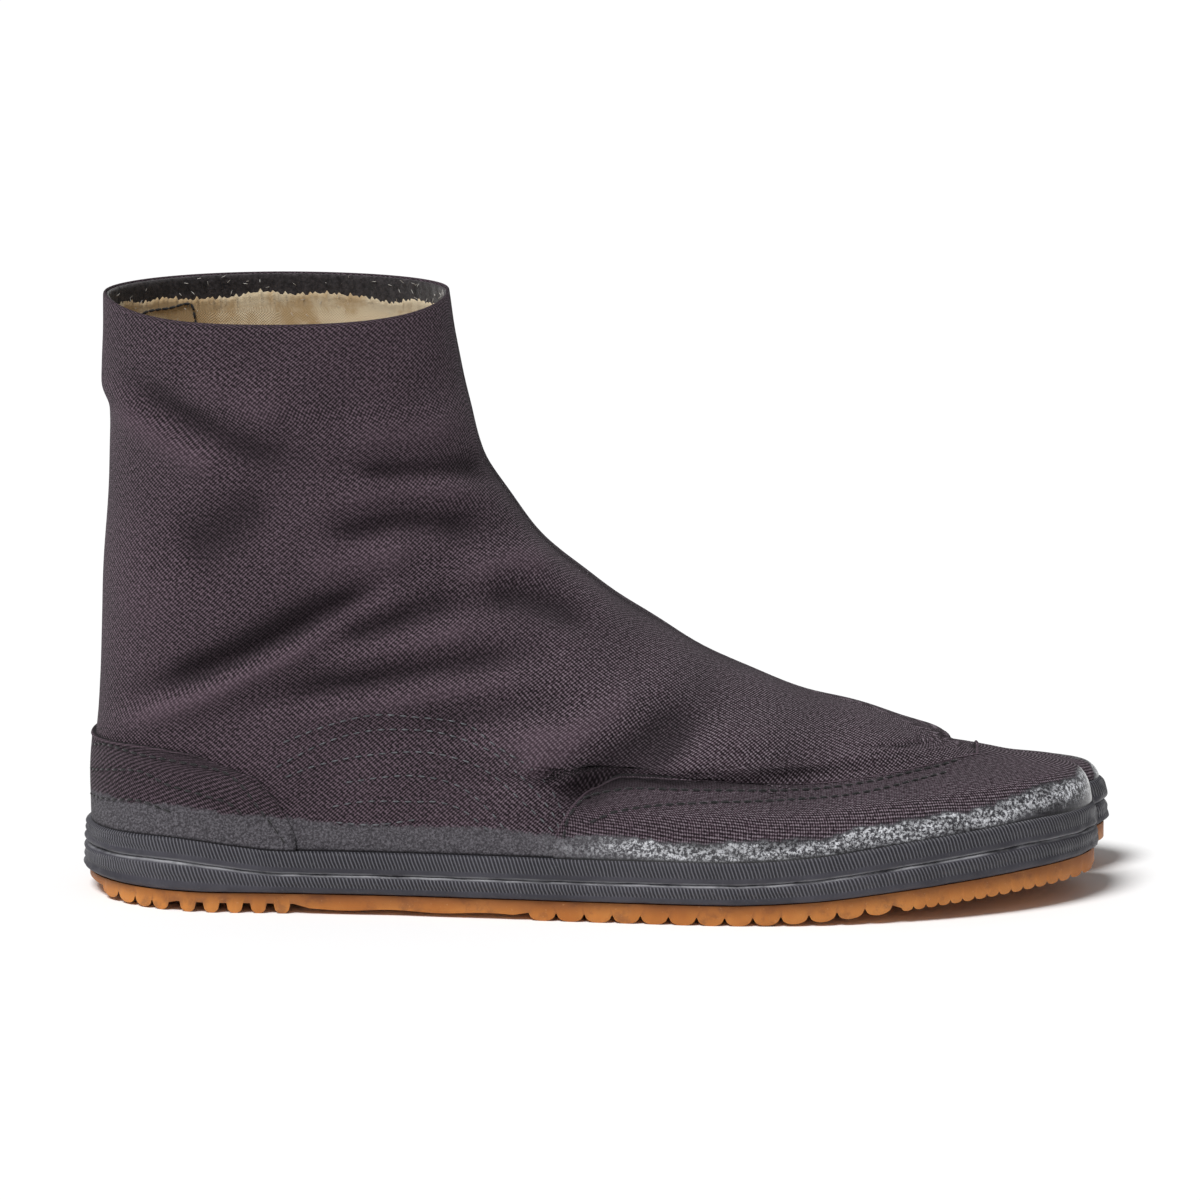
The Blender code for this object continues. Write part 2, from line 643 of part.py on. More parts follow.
def make_outsole(collection, cutters):
    top = [(x, float(sole_top(x))) for x in np.linspace(LENGTH * 1.02, 0.60 * LENGTH, 12)]
    top += [(-0.02 * LENGTH, float(sole_top(0)))]
    lugs = lug_profile()
    heel_end = (-0.02 * LENGTH, float(heel_lift(0)) + HEEL_LUG_DEPTH)
    toe_end = (LENGTH * 1.02, float(spring(LENGTH)) + TOE_LUG_DEPTH)
    arch_start, arch_end = LUGS[1]["last"] * LENGTH, LUGS[2]["first"] * LENGTH
    arch = [(x, ARCH_LIFT) for x in np.linspace(arch_start + 4 * MM, arch_end - 4 * MM, 5)]
    heel = [p for p in lugs if p[0] < arch_start + MM]
    fore = [p for p in lugs if p[0] > arch_end - MM]
    profile = [heel_end] + heel + arch + fore + [toe_end] + top
    reach = OUTER_HALF_WIDTH * 1.5
    sole = prism("outsole", profile, -reach, reach, False, GUM, collection)
    outline = plan_outline(CLEARANCE + FOXING_WALL - SOLE_EDGE_INSET)
    cutter = prism("outsole outline", outline, -10 * MM, 30 * MM, True, GUM, cutters)
    cut_to(sole, cutter)


def make_insole(collection, cutters):
    """A flat cotton-faced insole inside the upper, bent up with the toes."""
    stations = np.concatenate([[-0.02 * LENGTH], np.linspace(0.60 * LENGTH, 1.02 * LENGTH, 10)])
    low = [(x, float(feather(x))) for x in stations]
    high = [(x, float(feather(x)) + INSOLE_THICKNESS) for x in stations[::-1]]
    reach = OUTER_HALF_WIDTH * 1.5
    insole = prism("insole", low + high, -reach, reach, False, LINING, collection)
    outline = plan_outline(-(CANVAS_WALL + 2 * CLEARANCE))
    cutter = prism("insole outline", outline, -10 * MM, 30 * MM, True, LINING, cutters)
    cut_to(insole, cutter)


def centre_on_origin(collection):
    """Moves every piece so that the origin is on the floor under the middle of the shoe."""
    bpy.context.view_layer.update()
    graph = bpy.context.evaluated_depsgraph_get()
    corners = []
    for piece in collection.objects:
        evaluated = piece.evaluated_get(graph)
        corners += [tuple(v.co) for v in evaluated.to_mesh().vertices]
        evaluated.to_mesh_clear()
    corners = np.array(corners)
    low, high = corners.min(axis=0), corners.max(axis=0)
    shift = ((low[0] + high[0]) / 2, (low[1] + high[1]) / 2, low[2])
    for made in list(bpy.data.objects):
        made.location = (-shift[0], -shift[1], -shift[2])
    print("moved by", [round(s / MM, 4) for s in shift], "mm")


def main():
    for old in list(bpy.data.objects):
        bpy.data.objects.remove(old)
    shoe = bpy.data.collections.new("jika_tabi")
    cutters = bpy.data.collections.new("cutters")
    for made in (shoe, cutters):
        bpy.context.scene.collection.children.link(made)
    make_outsole(shoe, cutters)
    make_insole(shoe, cutters)
    make_upper(shoe)
    make_foxing(shoe)
    make_overlays(shoe, cutters)
    make_facing(shoe)
    centre_on_origin(shoe)


main()
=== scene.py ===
"""An empty right-foot jika tabi, dressed: twill canvas, rubber foxing and a gum sole.

The shoe's own frame runs from the heel, X = 0, to the big toe, X = LENGTH, with the outer side of
the foot at -Y. SHIFT moves it so that the origin is on the floor under the middle of the shoe.
"""

import math

import bmesh
import bpy
import numpy as np
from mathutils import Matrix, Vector
from mathutils.bvhtree import BVHTree


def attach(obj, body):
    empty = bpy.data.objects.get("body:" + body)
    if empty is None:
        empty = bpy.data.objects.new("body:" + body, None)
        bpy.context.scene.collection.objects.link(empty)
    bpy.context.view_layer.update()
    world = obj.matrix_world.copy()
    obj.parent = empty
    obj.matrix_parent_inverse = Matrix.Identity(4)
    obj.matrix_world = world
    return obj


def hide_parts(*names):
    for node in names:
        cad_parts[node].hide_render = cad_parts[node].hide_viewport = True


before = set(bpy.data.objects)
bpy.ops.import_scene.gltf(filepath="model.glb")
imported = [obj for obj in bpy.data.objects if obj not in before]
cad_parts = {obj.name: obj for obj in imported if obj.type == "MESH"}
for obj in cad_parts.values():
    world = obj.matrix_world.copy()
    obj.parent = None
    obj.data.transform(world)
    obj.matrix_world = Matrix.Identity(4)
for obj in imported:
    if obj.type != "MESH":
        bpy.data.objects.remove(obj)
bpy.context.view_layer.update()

MM = 0.001

# The sizes of the solids, with the names that they have in the part's source.
LENGTH = 272 * MM
OUTER_HALF_WIDTH = 49.5 * MM
INNER_HALF_WIDTH = 47.0 * MM
COLLAR_HEIGHT = 159 * MM
COLLAR_HALF_WIDTH = 30.5 * MM
COLLAR_DIP = 4.0 * MM
ANKLE_HALF_WIDTH = 32.0 * MM
TOE_SPRING = 6.8 * MM
CLEARANCE = 0.3 * MM
FOXING_WALL = 1.6 * MM
SPLIT_Y = 10.0 * MM
SPLIT_DEPTH = 50 * MM
SPLIT_ROOT_X = LENGTH - SPLIT_DEPTH
SPLIT_HALF_GAP = 3.7 * MM
TOE_STEP = 4.0 * MM
OUTER_TOE_AXIS_Y = -3.5 * MM
INNER_TOE_AXIS_Y = 25.0 * MM
TOE_CORNER_RUN = 10 * MM
INNER_TOE_SINK = 0.25
SOLE_TOP_HEIGHT = 5.3 * MM
SHAFT_BACK_ROUND = 46 * MM
HEEL_ROUND = 36 * MM
OUTER_TOE_TAPER = 86 * MM
INNER_TOE_TAPER = 42 * MM

SOLE_EDGE_INSET = 0.6 * MM
ARCH_LIFT = 1.4 * MM
HEEL_LUG_DEPTH = 2.7 * MM
FOREFOOT_LUG_DEPTH = 2.1 * MM
TOE_LUG_DEPTH = 1.0 * MM
HEEL_BEVEL = 1.6 * MM
UPPER_BAND_HEIGHT = 5.9 * MM
COUNTER_HEIGHT = 42.5 * MM
COUNTER_REACH = 57 * MM
GUARD_REACH = 149 * MM
GUARD_RIDGE_REACH = 36 * MM
GUARD_START_X = LENGTH - GUARD_REACH
GUARD_RIDGE_X = LENGTH - GUARD_RIDGE_REACH
GUARD_SHOULDER_HEIGHT = 37.5 * MM
GUARD_EDGE_LEAN = 0.8
COUNTER_EDGE_LEAN = 0.05
TRIM_MIDDLE = 2 * MM

# The upper edges of the overlays. Reach and height are shares of the overlay's own, shoulder is a
# share of OUTER_HALF_WIDTH.
COUNTER_EDGE = [
    dict(reach=-0.20, height=0.980, shoulder=0.65),
    dict(reach=0.25, height=1.000, shoulder=0.65),
    dict(reach=0.62, height=0.960, shoulder=0.66),
    dict(reach=0.77, height=0.880, shoulder=0.66),
    dict(reach=0.88, height=0.730, shoulder=0.67),
    dict(reach=0.96, height=0.560, shoulder=0.67),
    dict(reach=1.00, height=0.430, shoulder=0.68),
]
GUARD_EDGE = [
    dict(reach=0.000, height=0.480, shoulder=0.82),
    dict(reach=0.045, height=0.720, shoulder=0.82),
    dict(reach=0.100, height=0.920, shoulder=0.80),
    dict(reach=0.180, height=1.000, shoulder=0.80),
    dict(reach=0.400, height=1.010, shoulder=0.80),
    dict(reach=0.600, height=0.990, shoulder=0.76),
    dict(reach=0.720, height=1.000, shoulder=0.70),
    dict(reach=0.850, height=1.060, shoulder=0.58),
    dict(reach=1.000, height=1.160, shoulder=0.40),
]
# Groups of lugs from heel to toe, between two shares of LENGTH.
LUGS = [
    dict(first=0.018, last=0.085, count=4, depth=HEEL_LUG_DEPTH * 0.8),
    dict(first=0.092, last=0.206, count=5, depth=HEEL_LUG_DEPTH),
    dict(first=0.432, last=0.782, count=13, depth=FOREFOOT_LUG_DEPTH),
    dict(first=0.790, last=0.980, count=16, depth=TOE_LUG_DEPTH),
]

# Columns along one side, columns to each piece of the split's wall, and loops from sole to collar.
SIDE = 170
ARC = 5
LOOPS = 150

# How many toe corners the split takes to open, how much it widens upwards on each side, the share
# of each side that its columns take where it is closed, and the share of LENGTH from which the big
# toe's side sinks.
SPLIT_OPENING = 2.2
SPLIT_FLARE = 5.5 * MM
SPLIT_SHARE = 0.2
SINK_START = 0.45


def rows(names, *values):
    """A short table with named columns."""
    return [dict(zip(names.split(), row)) for row in values]


FOOT_WIDTHS = rows(
    "station outer inner",
    (0.00, 0.630, 0.650), (0.15, 0.645, 0.655), (0.28, 0.700, 0.625), (0.40, 0.790, 0.620),
    (0.52, 0.885, 0.715), (0.63, 0.955, 0.870), (0.72, 0.965, 0.950), (0.82, 0.955, 0.955),
    (0.92, 0.940, 0.940), (1.00, 0.930, 0.930),
)
# The loops of the upper from the sole to the collar, as shares: see loop_at.
RIDGE = rows(
    "front rise back set_in taper axis flat keep shaft",
    (0.9908, 0.000, 0.000, 0.0092, 0.00, 0.037, 0.046, 0.990, 0.00),
    (0.9912, 0.060, 0.075, 0.0084, 0.00, 0.037, 0.046, 1.000, 0.00),
    (0.9885, 0.098, 0.110, 0.0080, 0.05, 0.037, 0.044, 0.990, 0.00),
    (0.9790, 0.125, 0.138, 0.0080, 0.16, 0.037, 0.042, 0.985, 0.00),
    (0.9540, 0.138, 0.160, 0.0083, 0.28, 0.037, 0.040, 0.980, 0.00),
    (0.9110, 0.154, 0.184, 0.0090, 0.36, 0.037, 0.036, 0.975, 0.00),
    (0.8540, 0.192, 0.215, 0.0104, 0.40, 0.036, 0.028, 0.965, 0.00),
    (0.7760, 0.245, 0.260, 0.0130, 0.41, 0.032, 0.018, 0.950, 0.03),
    (0.6980, 0.296, 0.315, 0.0146, 0.42, 0.027, 0.012, 0.935, 0.10),
    (0.6210, 0.352, 0.375, 0.0165, 0.42, 0.022, 0.010, 0.925, 0.24),
    (0.5430, 0.430, 0.445, 0.0190, 0.41, 0.016, 0.010, 0.920, 0.46),
    (0.4660, 0.522, 0.530, 0.0212, 0.37, 0.010, 0.010, 0.920, 0.72),
    (0.4270, 0.597, 0.605, 0.0232, 0.32, 0.007, 0.010, 0.930, 0.88),
    (0.3890, 0.697, 0.700, 0.0252, 0.25, 0.004, 0.010, 0.945, 1.00),
    (0.3755, 0.770, 0.776, 0.0280, 0.21, 0.002, 0.010, 0.960, 1.00),
    (0.3680, 0.820, 0.825, 0.0200, 0.19, 0.001, 0.010, 0.975, 1.00),
    (0.3555, 0.967, 0.965, 0.0215, 0.17, 0.000, 0.010, 1.000, 1.00),
)
# Shares of TOE_SPRING and, for the foxing and the smear of cement above it, of COLLAR_HEIGHT.
SPRING = rows(
    "station lift",
    (0.00, 0.00), (0.62, 0.00), (0.70, 0.13), (0.78, 0.42), (0.86, 0.70), (0.93, 0.90), (1.00, 1.00),
)
FOXING_HEIGHTS = rows(
    "station height",
    (0.00, 0.082), (0.08, 0.088), (0.20, 0.070), (0.38, 0.070),
    (0.64, 0.071), (0.80, 0.078), (0.90, 0.080), (1.00, 0.073),
)
SMEAR = rows(
    "station height",
    (0.00, 0.052), (0.15, 0.056), (0.30, 0.046), (0.45, 0.040), (0.62, 0.036),
    (0.75, 0.038), (0.86, 0.040), (0.93, 0.050), (1.00, 0.060),
)


def read(table, column, place, along="station"):
    """A table's column at a place, on a smooth curve that never overshoots its rows."""
    xs = np.array([row[along] for row in table], float)
    ys = np.array([row[column] for row in table], float)
    steps = np.diff(xs)
    slopes = np.diff(ys) / steps
    tangents = np.zeros(len(xs))
    tangents[0], tangents[-1] = slopes[0], slopes[-1]
    for k in range(1, len(xs) - 1):
        if slopes[k - 1] * slopes[k] > 0:
            a = 2 * steps[k] + steps[k - 1]
            b = steps[k] + 2 * steps[k - 1]
            tangents[k] = (a + b) / (a / slopes[k - 1] + b / slopes[k])
    place = np.clip(place, xs[0], xs[-1])
    k = np.clip(np.searchsorted(xs, place, side="right") - 1, 0, len(steps) - 1)
    h = steps[k]
    t = (place - xs[k]) / h
    return (
        ys[k] * (1 + 2 * t) * (1 - t) ** 2
        + h * tangents[k] * t * (1 - t) ** 2
        + ys[k + 1] * t * t * (3 - 2 * t)
        + h * tangents[k + 1] * t * t * (t - 1)
    )


def smooth(t):
    """An even rise from 0 to 1 that starts and ends level."""
    t = np.clip(t, 0, 1)
    return t * t * (3 - 2 * t)


def rounded(distance, run):
    """A quarter of an ellipse: 0 at its end, 1 from run onwards."""
    if run < MM:
        return np.ones_like(np.asarray(distance, float))
    left = 1 - np.clip(np.asarray(distance, float) / run, 0, 1)
    return np.sqrt(1 - left * left)


def spring(x):
    """How far the sole has risen towards the toe."""
    return TOE_SPRING * read(SPRING, "lift", np.asarray(x, float) / LENGTH)


def sole_top(x):
    """Height of the upper face of the sole."""
    return SOLE_TOP_HEIGHT + spring(x)


def feather(x):
    """Height of the lowest edge of the upper."""
    return sole_top(x) + CLEARANCE


def foxing_height(x):
    """Height of the rubber tapes above the sole."""
    return COLLAR_HEIGHT * read(FOXING_HEIGHTS, "height", np.asarray(x, float) / LENGTH)


def loop_sizes(place):
    """The row of sizes for a loop, between the rows of RIDGE."""
    table = [dict(row, place=k / (len(RIDGE) - 1)) for k, row in enumerate(RIDGE)]
    return {c: float(read(table, c, place, "place")) for c in RIDGE[0]}


def half_width(x, side, size):
    """Half the width of a loop: the foot's near the sole, the shaft's above."""
    column, full = ("outer", OUTER_HALF_WIDTH) if side < 0 else ("inner", INNER_HALF_WIDTH)
    foot = full * read(FOOT_WIDTHS, column, x / LENGTH) * size["keep"]
    low, high = RIDGE[-4]["rise"], RIDGE[-1]["rise"]
    over_collar = (size["rise"] - low) / (high - low)
    shaft = ANKLE_HALF_WIDTH + (COLLAR_HALF_WIDTH - ANKLE_HALF_WIDTH) * smooth(over_collar)
    return foot + (shaft - foot) * size["shaft"]


def openness(size):
    """How open the split is at a loop, from 0 to 1."""
    depth = size["front"] * LENGTH - SPLIT_ROOT_X
    return float(smooth(depth / (SPLIT_OPENING * TOE_CORNER_RUN)))


def side_curve(side, size, count, end):
    """One side of a loop, from the heel to a share of its way to the tip."""
    back = size["set_in"] * LENGTH
    front = size["front"] * LENGTH
    split = openness(size)
    if side < 0:
        front -= TOE_STEP * split
    toe_axis = OUTER_TOE_AXIS_Y if side < 0 else INNER_TOE_AXIS_Y
    ridge_axis = size["axis"] * LENGTH + side * size["flat"] * LENGTH
    axis_at_nose = ridge_axis + (toe_axis - ridge_axis) * split
    angle = math.pi * end * np.arange(count + 1) / count
    share = (1 - np.cos(angle)) / 2
    x = back + (front - back) * share
    axis = axis_at_nose * smooth(share)
    toe_run = OUTER_TOE_TAPER if side < 0 else INNER_TOE_TAPER
    run = toe_run * smooth(split) * (1 - size["taper"]) + size["taper"] * LENGTH
    heel_run = HEEL_ROUND + (SHAFT_BACK_ROUND - HEEL_ROUND) * size["shaft"]
    ends = rounded(x - back, heel_run) * rounded(front - x, run)
    y = axis + side * (half_width(x, side, size) - side * axis) * ends
    return np.stack([x, y], axis=1)


def even(points, count):
    """The same line with evenly spaced points."""
    steps = np.linalg.norm(np.diff(points, axis=0), axis=1)
    run = np.concatenate([[0], np.cumsum(steps)])
    at = np.linspace(0, run[-1], count + 1)
    return np.stack([np.interp(at, run, points[:, k]) for k in range(2)], axis=1)


def split_wall(side, size):
    """From the tip of one toe pouch, round its corner, to the root of the split."""
    opened = openness(size)
    centre = SPLIT_Y + (size["axis"] * LENGTH - SPLIT_Y) * (1 - opened)
    whole = side_curve(side, size, SIDE * 2, 1.0)
    start = int(round((1 - SPLIT_SHARE * (1 - opened)) * (len(whole) - 1)))
    closed = even(np.vstack([whole[start:], [[whole[-1, 0], centre]]]), 7 * ARC)
    tip_x, tip_y = whole[-1]
    depth = max(tip_x - SPLIT_ROOT_X, 0)
    flare = SPLIT_FLARE * float(np.clip(size["rise"] / RIDGE[5]["rise"], 0, 1)) ** 5
    gap = SPLIT_HALF_GAP + flare
    corner, root = min(TOE_CORNER_RUN, 0.5 * depth), min(gap, 0.5 * depth)
    wall_y = SPLIT_Y + side * gap
    turn = np.linspace(0, math.pi / 2, 3 * ARC + 1)
    tip = np.stack(
        [tip_x - corner * (1 - np.cos(turn)), tip_y + (wall_y - tip_y) * np.sin(turn)], axis=1
    )
    turn = np.linspace(0, math.pi / 2, 2 * ARC + 1)
    end = np.stack([SPLIT_ROOT_X + root - root * np.sin(turn), SPLIT_Y + side * gap * np.cos(turn)], axis=1)
    middle = tip[-1] + (end[0] - tip[-1]) * np.linspace(0, 1, 2 * ARC + 1)[1:-1, None]
    return closed + (np.vstack([tip, middle, end]) - closed) * opened


def loop_at(place):
    """The points of a loop, at a place from 0, the sole, to 1, the collar."""
    size = loop_sizes(place)
    end = 1 - SPLIT_SHARE * (1 - openness(size))
    outer, inner = side_curve(-1, size, SIDE, end), side_curve(1, size, SIDE, end)
    outer_wall, inner_wall = split_wall(-1, size), split_wall(1, size)
    plan = np.vstack([outer, outer_wall[1:], inner_wall[::-1][1:], inner[::-1][1:-1]])
    x = plan[:, 0]
    back, front = size["set_in"] * LENGTH, size["front"] * LENGTH
    share = np.clip((x - back) / (front - back), 0, 1)
    rise = COLLAR_HEIGHT * (size["back"] + (size["rise"] - size["back"]) * share**2)
    forward = smooth((x / LENGTH - SINK_START) / SINK_START)
    sink = INNER_TOE_SINK * forward * smooth(plan[:, 1] / INNER_TOE_AXIS_Y)
    z = feather(x) + rise * (1 - sink)
    low, high = RIDGE[-3]["rise"], RIDGE[-1]["rise"]
    near = smooth((size["rise"] - low) / (high - low))
    z = z - COLLAR_DIP * near * smooth(np.clip(-plan[:, 1] / COLLAR_HALF_WIDTH, 0, 1))
    return np.column_stack([plan, z])


def normals_of(grid):
    """Unit normals of a grid of closed loops, pointing out of the shoe."""
    along = np.roll(grid, -1, axis=1) - np.roll(grid, 1, axis=1)
    up = np.empty_like(grid)
    up[1:-1] = grid[2:] - grid[:-2]
    up[0], up[-1] = grid[1] - grid[0], grid[-1] - grid[-2]
    normals = np.cross(along, up)
    return normals / np.maximum(np.linalg.norm(normals, axis=2, keepdims=True), 1e-12)


SHIFT = np.array([-135.9875, 1.2873, 0.0]) * MM
GRID = np.array([loop_at(place) for place in np.linspace(0, 1, LOOPS)])
NORMALS = normals_of(GRID)
COLUMNS = GRID.shape[1]
HALF = COLUMNS // 2

# creases

# The share of a fold's length over which it fades, which is also how much of it is left at its
# ends, and the height of the slack between the folds.
FOLD_FADE = 0.25
SLACK_HEIGHT = 0.35 * MM

# Folds of the cloth on the outer side. Each has its width as a share of COLLAR_HEIGHT, how far it
# stands out in millimetres, and its path over the side of the shoe: x as a share of LENGTH, z of
# COLLAR_HEIGHT.
OUTER_FOLDS = [
    # below the collar, hollow
    (0.034, -2.8, [(0.030, 0.880), (0.070, 0.848), (0.115, 0.806), (0.165, 0.775), (0.215, 0.760)]),
    # below the collar, swell
    (0.038, 2.4, [(0.022, 0.845), (0.060, 0.808), (0.105, 0.768), (0.150, 0.742)]),
    # back of the collar, swell
    (0.050, 1.6, [(0.100, 0.905), (0.150, 0.850), (0.210, 0.815)]),
    # ankle front, upper hollow
    (0.030, -2.6, [(0.410, 0.712), (0.360, 0.728), (0.310, 0.730), (0.255, 0.742)]),
    # ankle front, swell
    (0.034, 2.4, [(0.400, 0.672), (0.350, 0.690), (0.300, 0.698), (0.240, 0.672)]),
    # ankle front, upper swell
    (0.045, 1.8, [(0.370, 0.800), (0.310, 0.780), (0.250, 0.775)]),
    # ankle front, lower hollow
    (0.032, -2.6, [(0.400, 0.628), (0.340, 0.650), (0.280, 0.640), (0.225, 0.612)]),
    # middle of the ankle, swell
    (0.050, 1.8, [(0.330, 0.600), (0.270, 0.592), (0.210, 0.570)]),
    # middle of the ankle, hollow
    (0.045, -1.6, [(0.190, 0.700), (0.140, 0.640), (0.090, 0.600)]),
    # back of the ankle, swell
    (0.060, 1.3, [(0.130, 0.560), (0.080, 0.510), (0.040, 0.450)]),
    # heel to instep, hollow
    (0.027, -4.2, [
        (0.060, 0.356), (0.110, 0.396), (0.160, 0.436),
        (0.210, 0.480), (0.255, 0.518), (0.310, 0.548),
    ]),
    # heel to instep, ridge
    (0.024, 3.0, [
        (0.020, 0.285), (0.080, 0.330), (0.150, 0.388),
        (0.210, 0.440), (0.260, 0.495), (0.330, 0.535),
    ]),
    # instep, hollow
    (0.032, -3.0, [(0.230, 0.452), (0.290, 0.478), (0.350, 0.510), (0.400, 0.545)]),
    # instep, swell at the front
    (0.034, 2.6, [(0.340, 0.508), (0.385, 0.552), (0.430, 0.560), (0.470, 0.530)]),
    # instep, front hollow
    (0.026, -2.4, [(0.380, 0.505), (0.425, 0.520), (0.470, 0.490), (0.500, 0.455)]),
    # instep, swell below
    (0.032, 2.0, [(0.225, 0.415), (0.290, 0.438), (0.350, 0.460), (0.400, 0.470)]),
    # lower instep, hollow
    (0.028, -2.6, [(0.180, 0.355), (0.240, 0.378), (0.310, 0.400), (0.380, 0.418), (0.440, 0.428)]),
    # lower instep, ridge
    (0.030, 2.2, [(0.190, 0.322), (0.250, 0.342), (0.320, 0.362), (0.390, 0.378), (0.460, 0.388)]),
    # below the instep, hollow
    (0.034, -1.6, [(0.300, 0.322), (0.370, 0.335), (0.440, 0.345), (0.500, 0.345)]),
    # over the waist, swell
    (0.040, 1.6, [(0.360, 0.285), (0.420, 0.295), (0.470, 0.300)]),
    # before the guard, hollow
    (0.044, -3.6, [(0.462, 0.170), (0.490, 0.232), (0.530, 0.272), (0.570, 0.308), (0.600, 0.355)]),
    # before the guard, swell
    (0.044, 2.4, [(0.430, 0.220), (0.462, 0.270), (0.500, 0.318), (0.550, 0.372)]),
    # forefoot, swell
    (0.040, 1.3, [(0.560, 0.262), (0.620, 0.282), (0.690, 0.290)]),
    # forefoot, hollow
    (0.026, -1.2, [(0.590, 0.250), (0.650, 0.258), (0.710, 0.258)]),
]
# The same cloth on the inner side, which the photograph doesn't show.
INNER_FOLDS = [
    # ankle front, hollow
    (0.030, -1.8, [(0.400, 0.700), (0.340, 0.712), (0.270, 0.700)]),
    # ankle front, swell
    (0.036, 1.5, [(0.390, 0.655), (0.330, 0.668), (0.260, 0.655)]),
    # heel to instep, hollow
    (0.036, -2.2, [(0.060, 0.380), (0.150, 0.440), (0.240, 0.500), (0.340, 0.540)]),
    # heel to instep, ridge
    (0.030, 1.7, [(0.060, 0.340), (0.150, 0.400), (0.240, 0.458), (0.340, 0.500)]),
    # instep, hollow
    (0.030, -1.6, [(0.260, 0.400), (0.340, 0.425), (0.430, 0.420)]),
    # instep, swell
    (0.032, 1.3, [(0.270, 0.362), (0.350, 0.385), (0.440, 0.378)]),
    # heel, hollow
    (0.040, -1.2, [(0.040, 0.760), (0.100, 0.700), (0.180, 0.670)]),
    # waist, hollow
    (0.036, -1.0, [(0.420, 0.240), (0.500, 0.290), (0.580, 0.330)]),
]


def curve(points, count):
    """A smooth curve through the points."""
    points = np.array(points, float)
    padded = np.vstack([2 * points[0] - points[1], points, 2 * points[-1] - points[-2]])
    out = []
    for k in range(len(points) - 1):
        a, b, c, d = padded[k : k + 4]
        t = np.linspace(0, 1, count, endpoint=False)[:, None]
        bend, twist = 2 * a - 5 * b + 4 * c - d, 3 * b - a - 3 * c + d
        out.append(0.5 * (2 * b + (c - a) * t + bend * t**2 + twist * t**3))
    return np.vstack(out + [points[-1:]])


def along_path(path, points):
    """For each point in a plane, its distance from a path and its place from 0 to 1 along it."""
    best = np.full(len(points), 1e9)
    place = np.zeros(len(points))
    lengths = np.concatenate([[0], np.cumsum(np.linalg.norm(np.diff(path, axis=0), axis=1))])
    for k in range(len(path) - 1):
        a, step = path[k], path[k + 1] - path[k]
        t = np.clip(((points - a) @ step) / (step @ step), 0, 1)
        gap = np.linalg.norm(points - a - t[:, None] * step, axis=1)
        near = gap < best
        best = np.where(near, gap, best)
        place = np.where(near, (lengths[k] + t * (lengths[k + 1] - lengths[k])) / lengths[-1], place)
    return best, place


def fold_depths(points, folds):
    """How far each point of the side of the shoe stands out of the plain form."""
    flat = points[:, [0, 2]]
    total = np.zeros(len(points))
    for wide, proud, path in folds:
        gap, place = along_path(curve(np.array(path) * [LENGTH, COLLAR_HEIGHT], 6), flat)
        ends = smooth(place / FOLD_FADE) * smooth((1 - place) / FOLD_FADE)
        across = np.exp(-((gap / (wide * COLLAR_HEIGHT)) ** 2))
        total += proud * MM * across * (FOLD_FADE + (1 - FOLD_FADE) * ends)
    return total


def slack(points):
    """Broad uneven swells of loose cloth, the same on every run."""
    x, y, z = (points[:, k] / LENGTH for k in range(3))
    waves = np.sin(31 * x + 9 * z + 1.3) * np.sin(17 * z - 11 * x + 0.4)
    waves = waves + 0.6 * np.sin(53 * x - 37 * z + 20 * y)
    return SLACK_HEIGHT * waves


def creased(grid, normals):
    """The loops of the upper with their folds, and how far each point has moved."""
    points, facing = grid.reshape(-1, 3), normals.reshape(-1, 3)
    outer = smooth((-facing[:, 1] + 0.1) / 0.75)
    inner = smooth((facing[:, 1] + 0.1) / 0.75)
    depth = outer * fold_depths(points, OUTER_FOLDS) + inner * fold_depths(points, INNER_FOLDS)
    depth = depth + slack(points)
    above = points[:, 2] - feather(points[:, 0]) - foxing_height(points[:, 0])
    free = smooth((above - 2 * MM) / (16 * MM)) * smooth((COLLAR_HEIGHT - 1 * MM - points[:, 2]) / (14 * MM))
    toes = 1 - 0.8 * smooth((points[:, 0] - 0.78 * LENGTH) / (0.06 * LENGTH))
    depth = (depth * free * toes).reshape(grid.shape[:2])
    return grid + normals * depth[..., None], depth


def deepest(depth):
    """The folds as the lining follows them, never outside the cloth."""
    low = depth.copy()
    for shift in range(-3, 4):
        low = np.minimum(low, np.roll(depth, shift, axis=1))
    lowest = low.copy()
    for shift in (1, 2, 3):
        lowest[shift:] = np.minimum(lowest[shift:], low[:-shift])
        lowest[:-shift] = np.minimum(lowest[:-shift], low[shift:])
    soft = lowest.copy()
    for _ in range(3):
        soft[1:-1] = (soft[:-2] + 2 * soft[1:-1] + soft[2:]) / 4
        soft = (np.roll(soft, 1, axis=1) + 2 * soft + np.roll(soft, -1, axis=1)) / 4
    return np.minimum(soft, lowest) - 0.25 * MM * smooth(-lowest / MM)


CLOTH, DEPTH = creased(GRID, NORMALS)
CLOTH_NORMALS = normals_of(CLOTH)
INSIDE = GRID + NORMALS * deepest(DEPTH)[..., None]


def on_column(column, level, offset, form=None):
    """A point of the cloth on one column at a real-valued loop number, moved outward by offset."""
    points, normals = form or (CLOTH, CLOTH_NORMALS)
    low = int(np.clip(math.floor(level), 0, LOOPS - 2))
    t = level - low
    point = points[low, column] * (1 - t) + points[low + 1, column] * t
    normal = normals[low, column] * (1 - t) + normals[low + 1, column] * t
    return point + normal / np.linalg.norm(normal) * offset


def level_where(column, inside):
    """The loop number up to which a column stays inside an edge. Inside takes an array of points."""
    found = inside(GRID[:, column])
    low = len(found) - 1 if found.all() else max(int(np.argmin(found)) - 1, 0)
    if low >= LOOPS - 1:
        return float(LOOPS - 1)
    a, b = GRID[low, column], GRID[low + 1, column]
    ts = np.linspace(0, 1, 33)
    ok = inside(a + (b - a) * ts[:, None])
    return low + float(ts[max(int(np.argmin(ok)) - 1, 0)] if not ok.all() else 1.0)


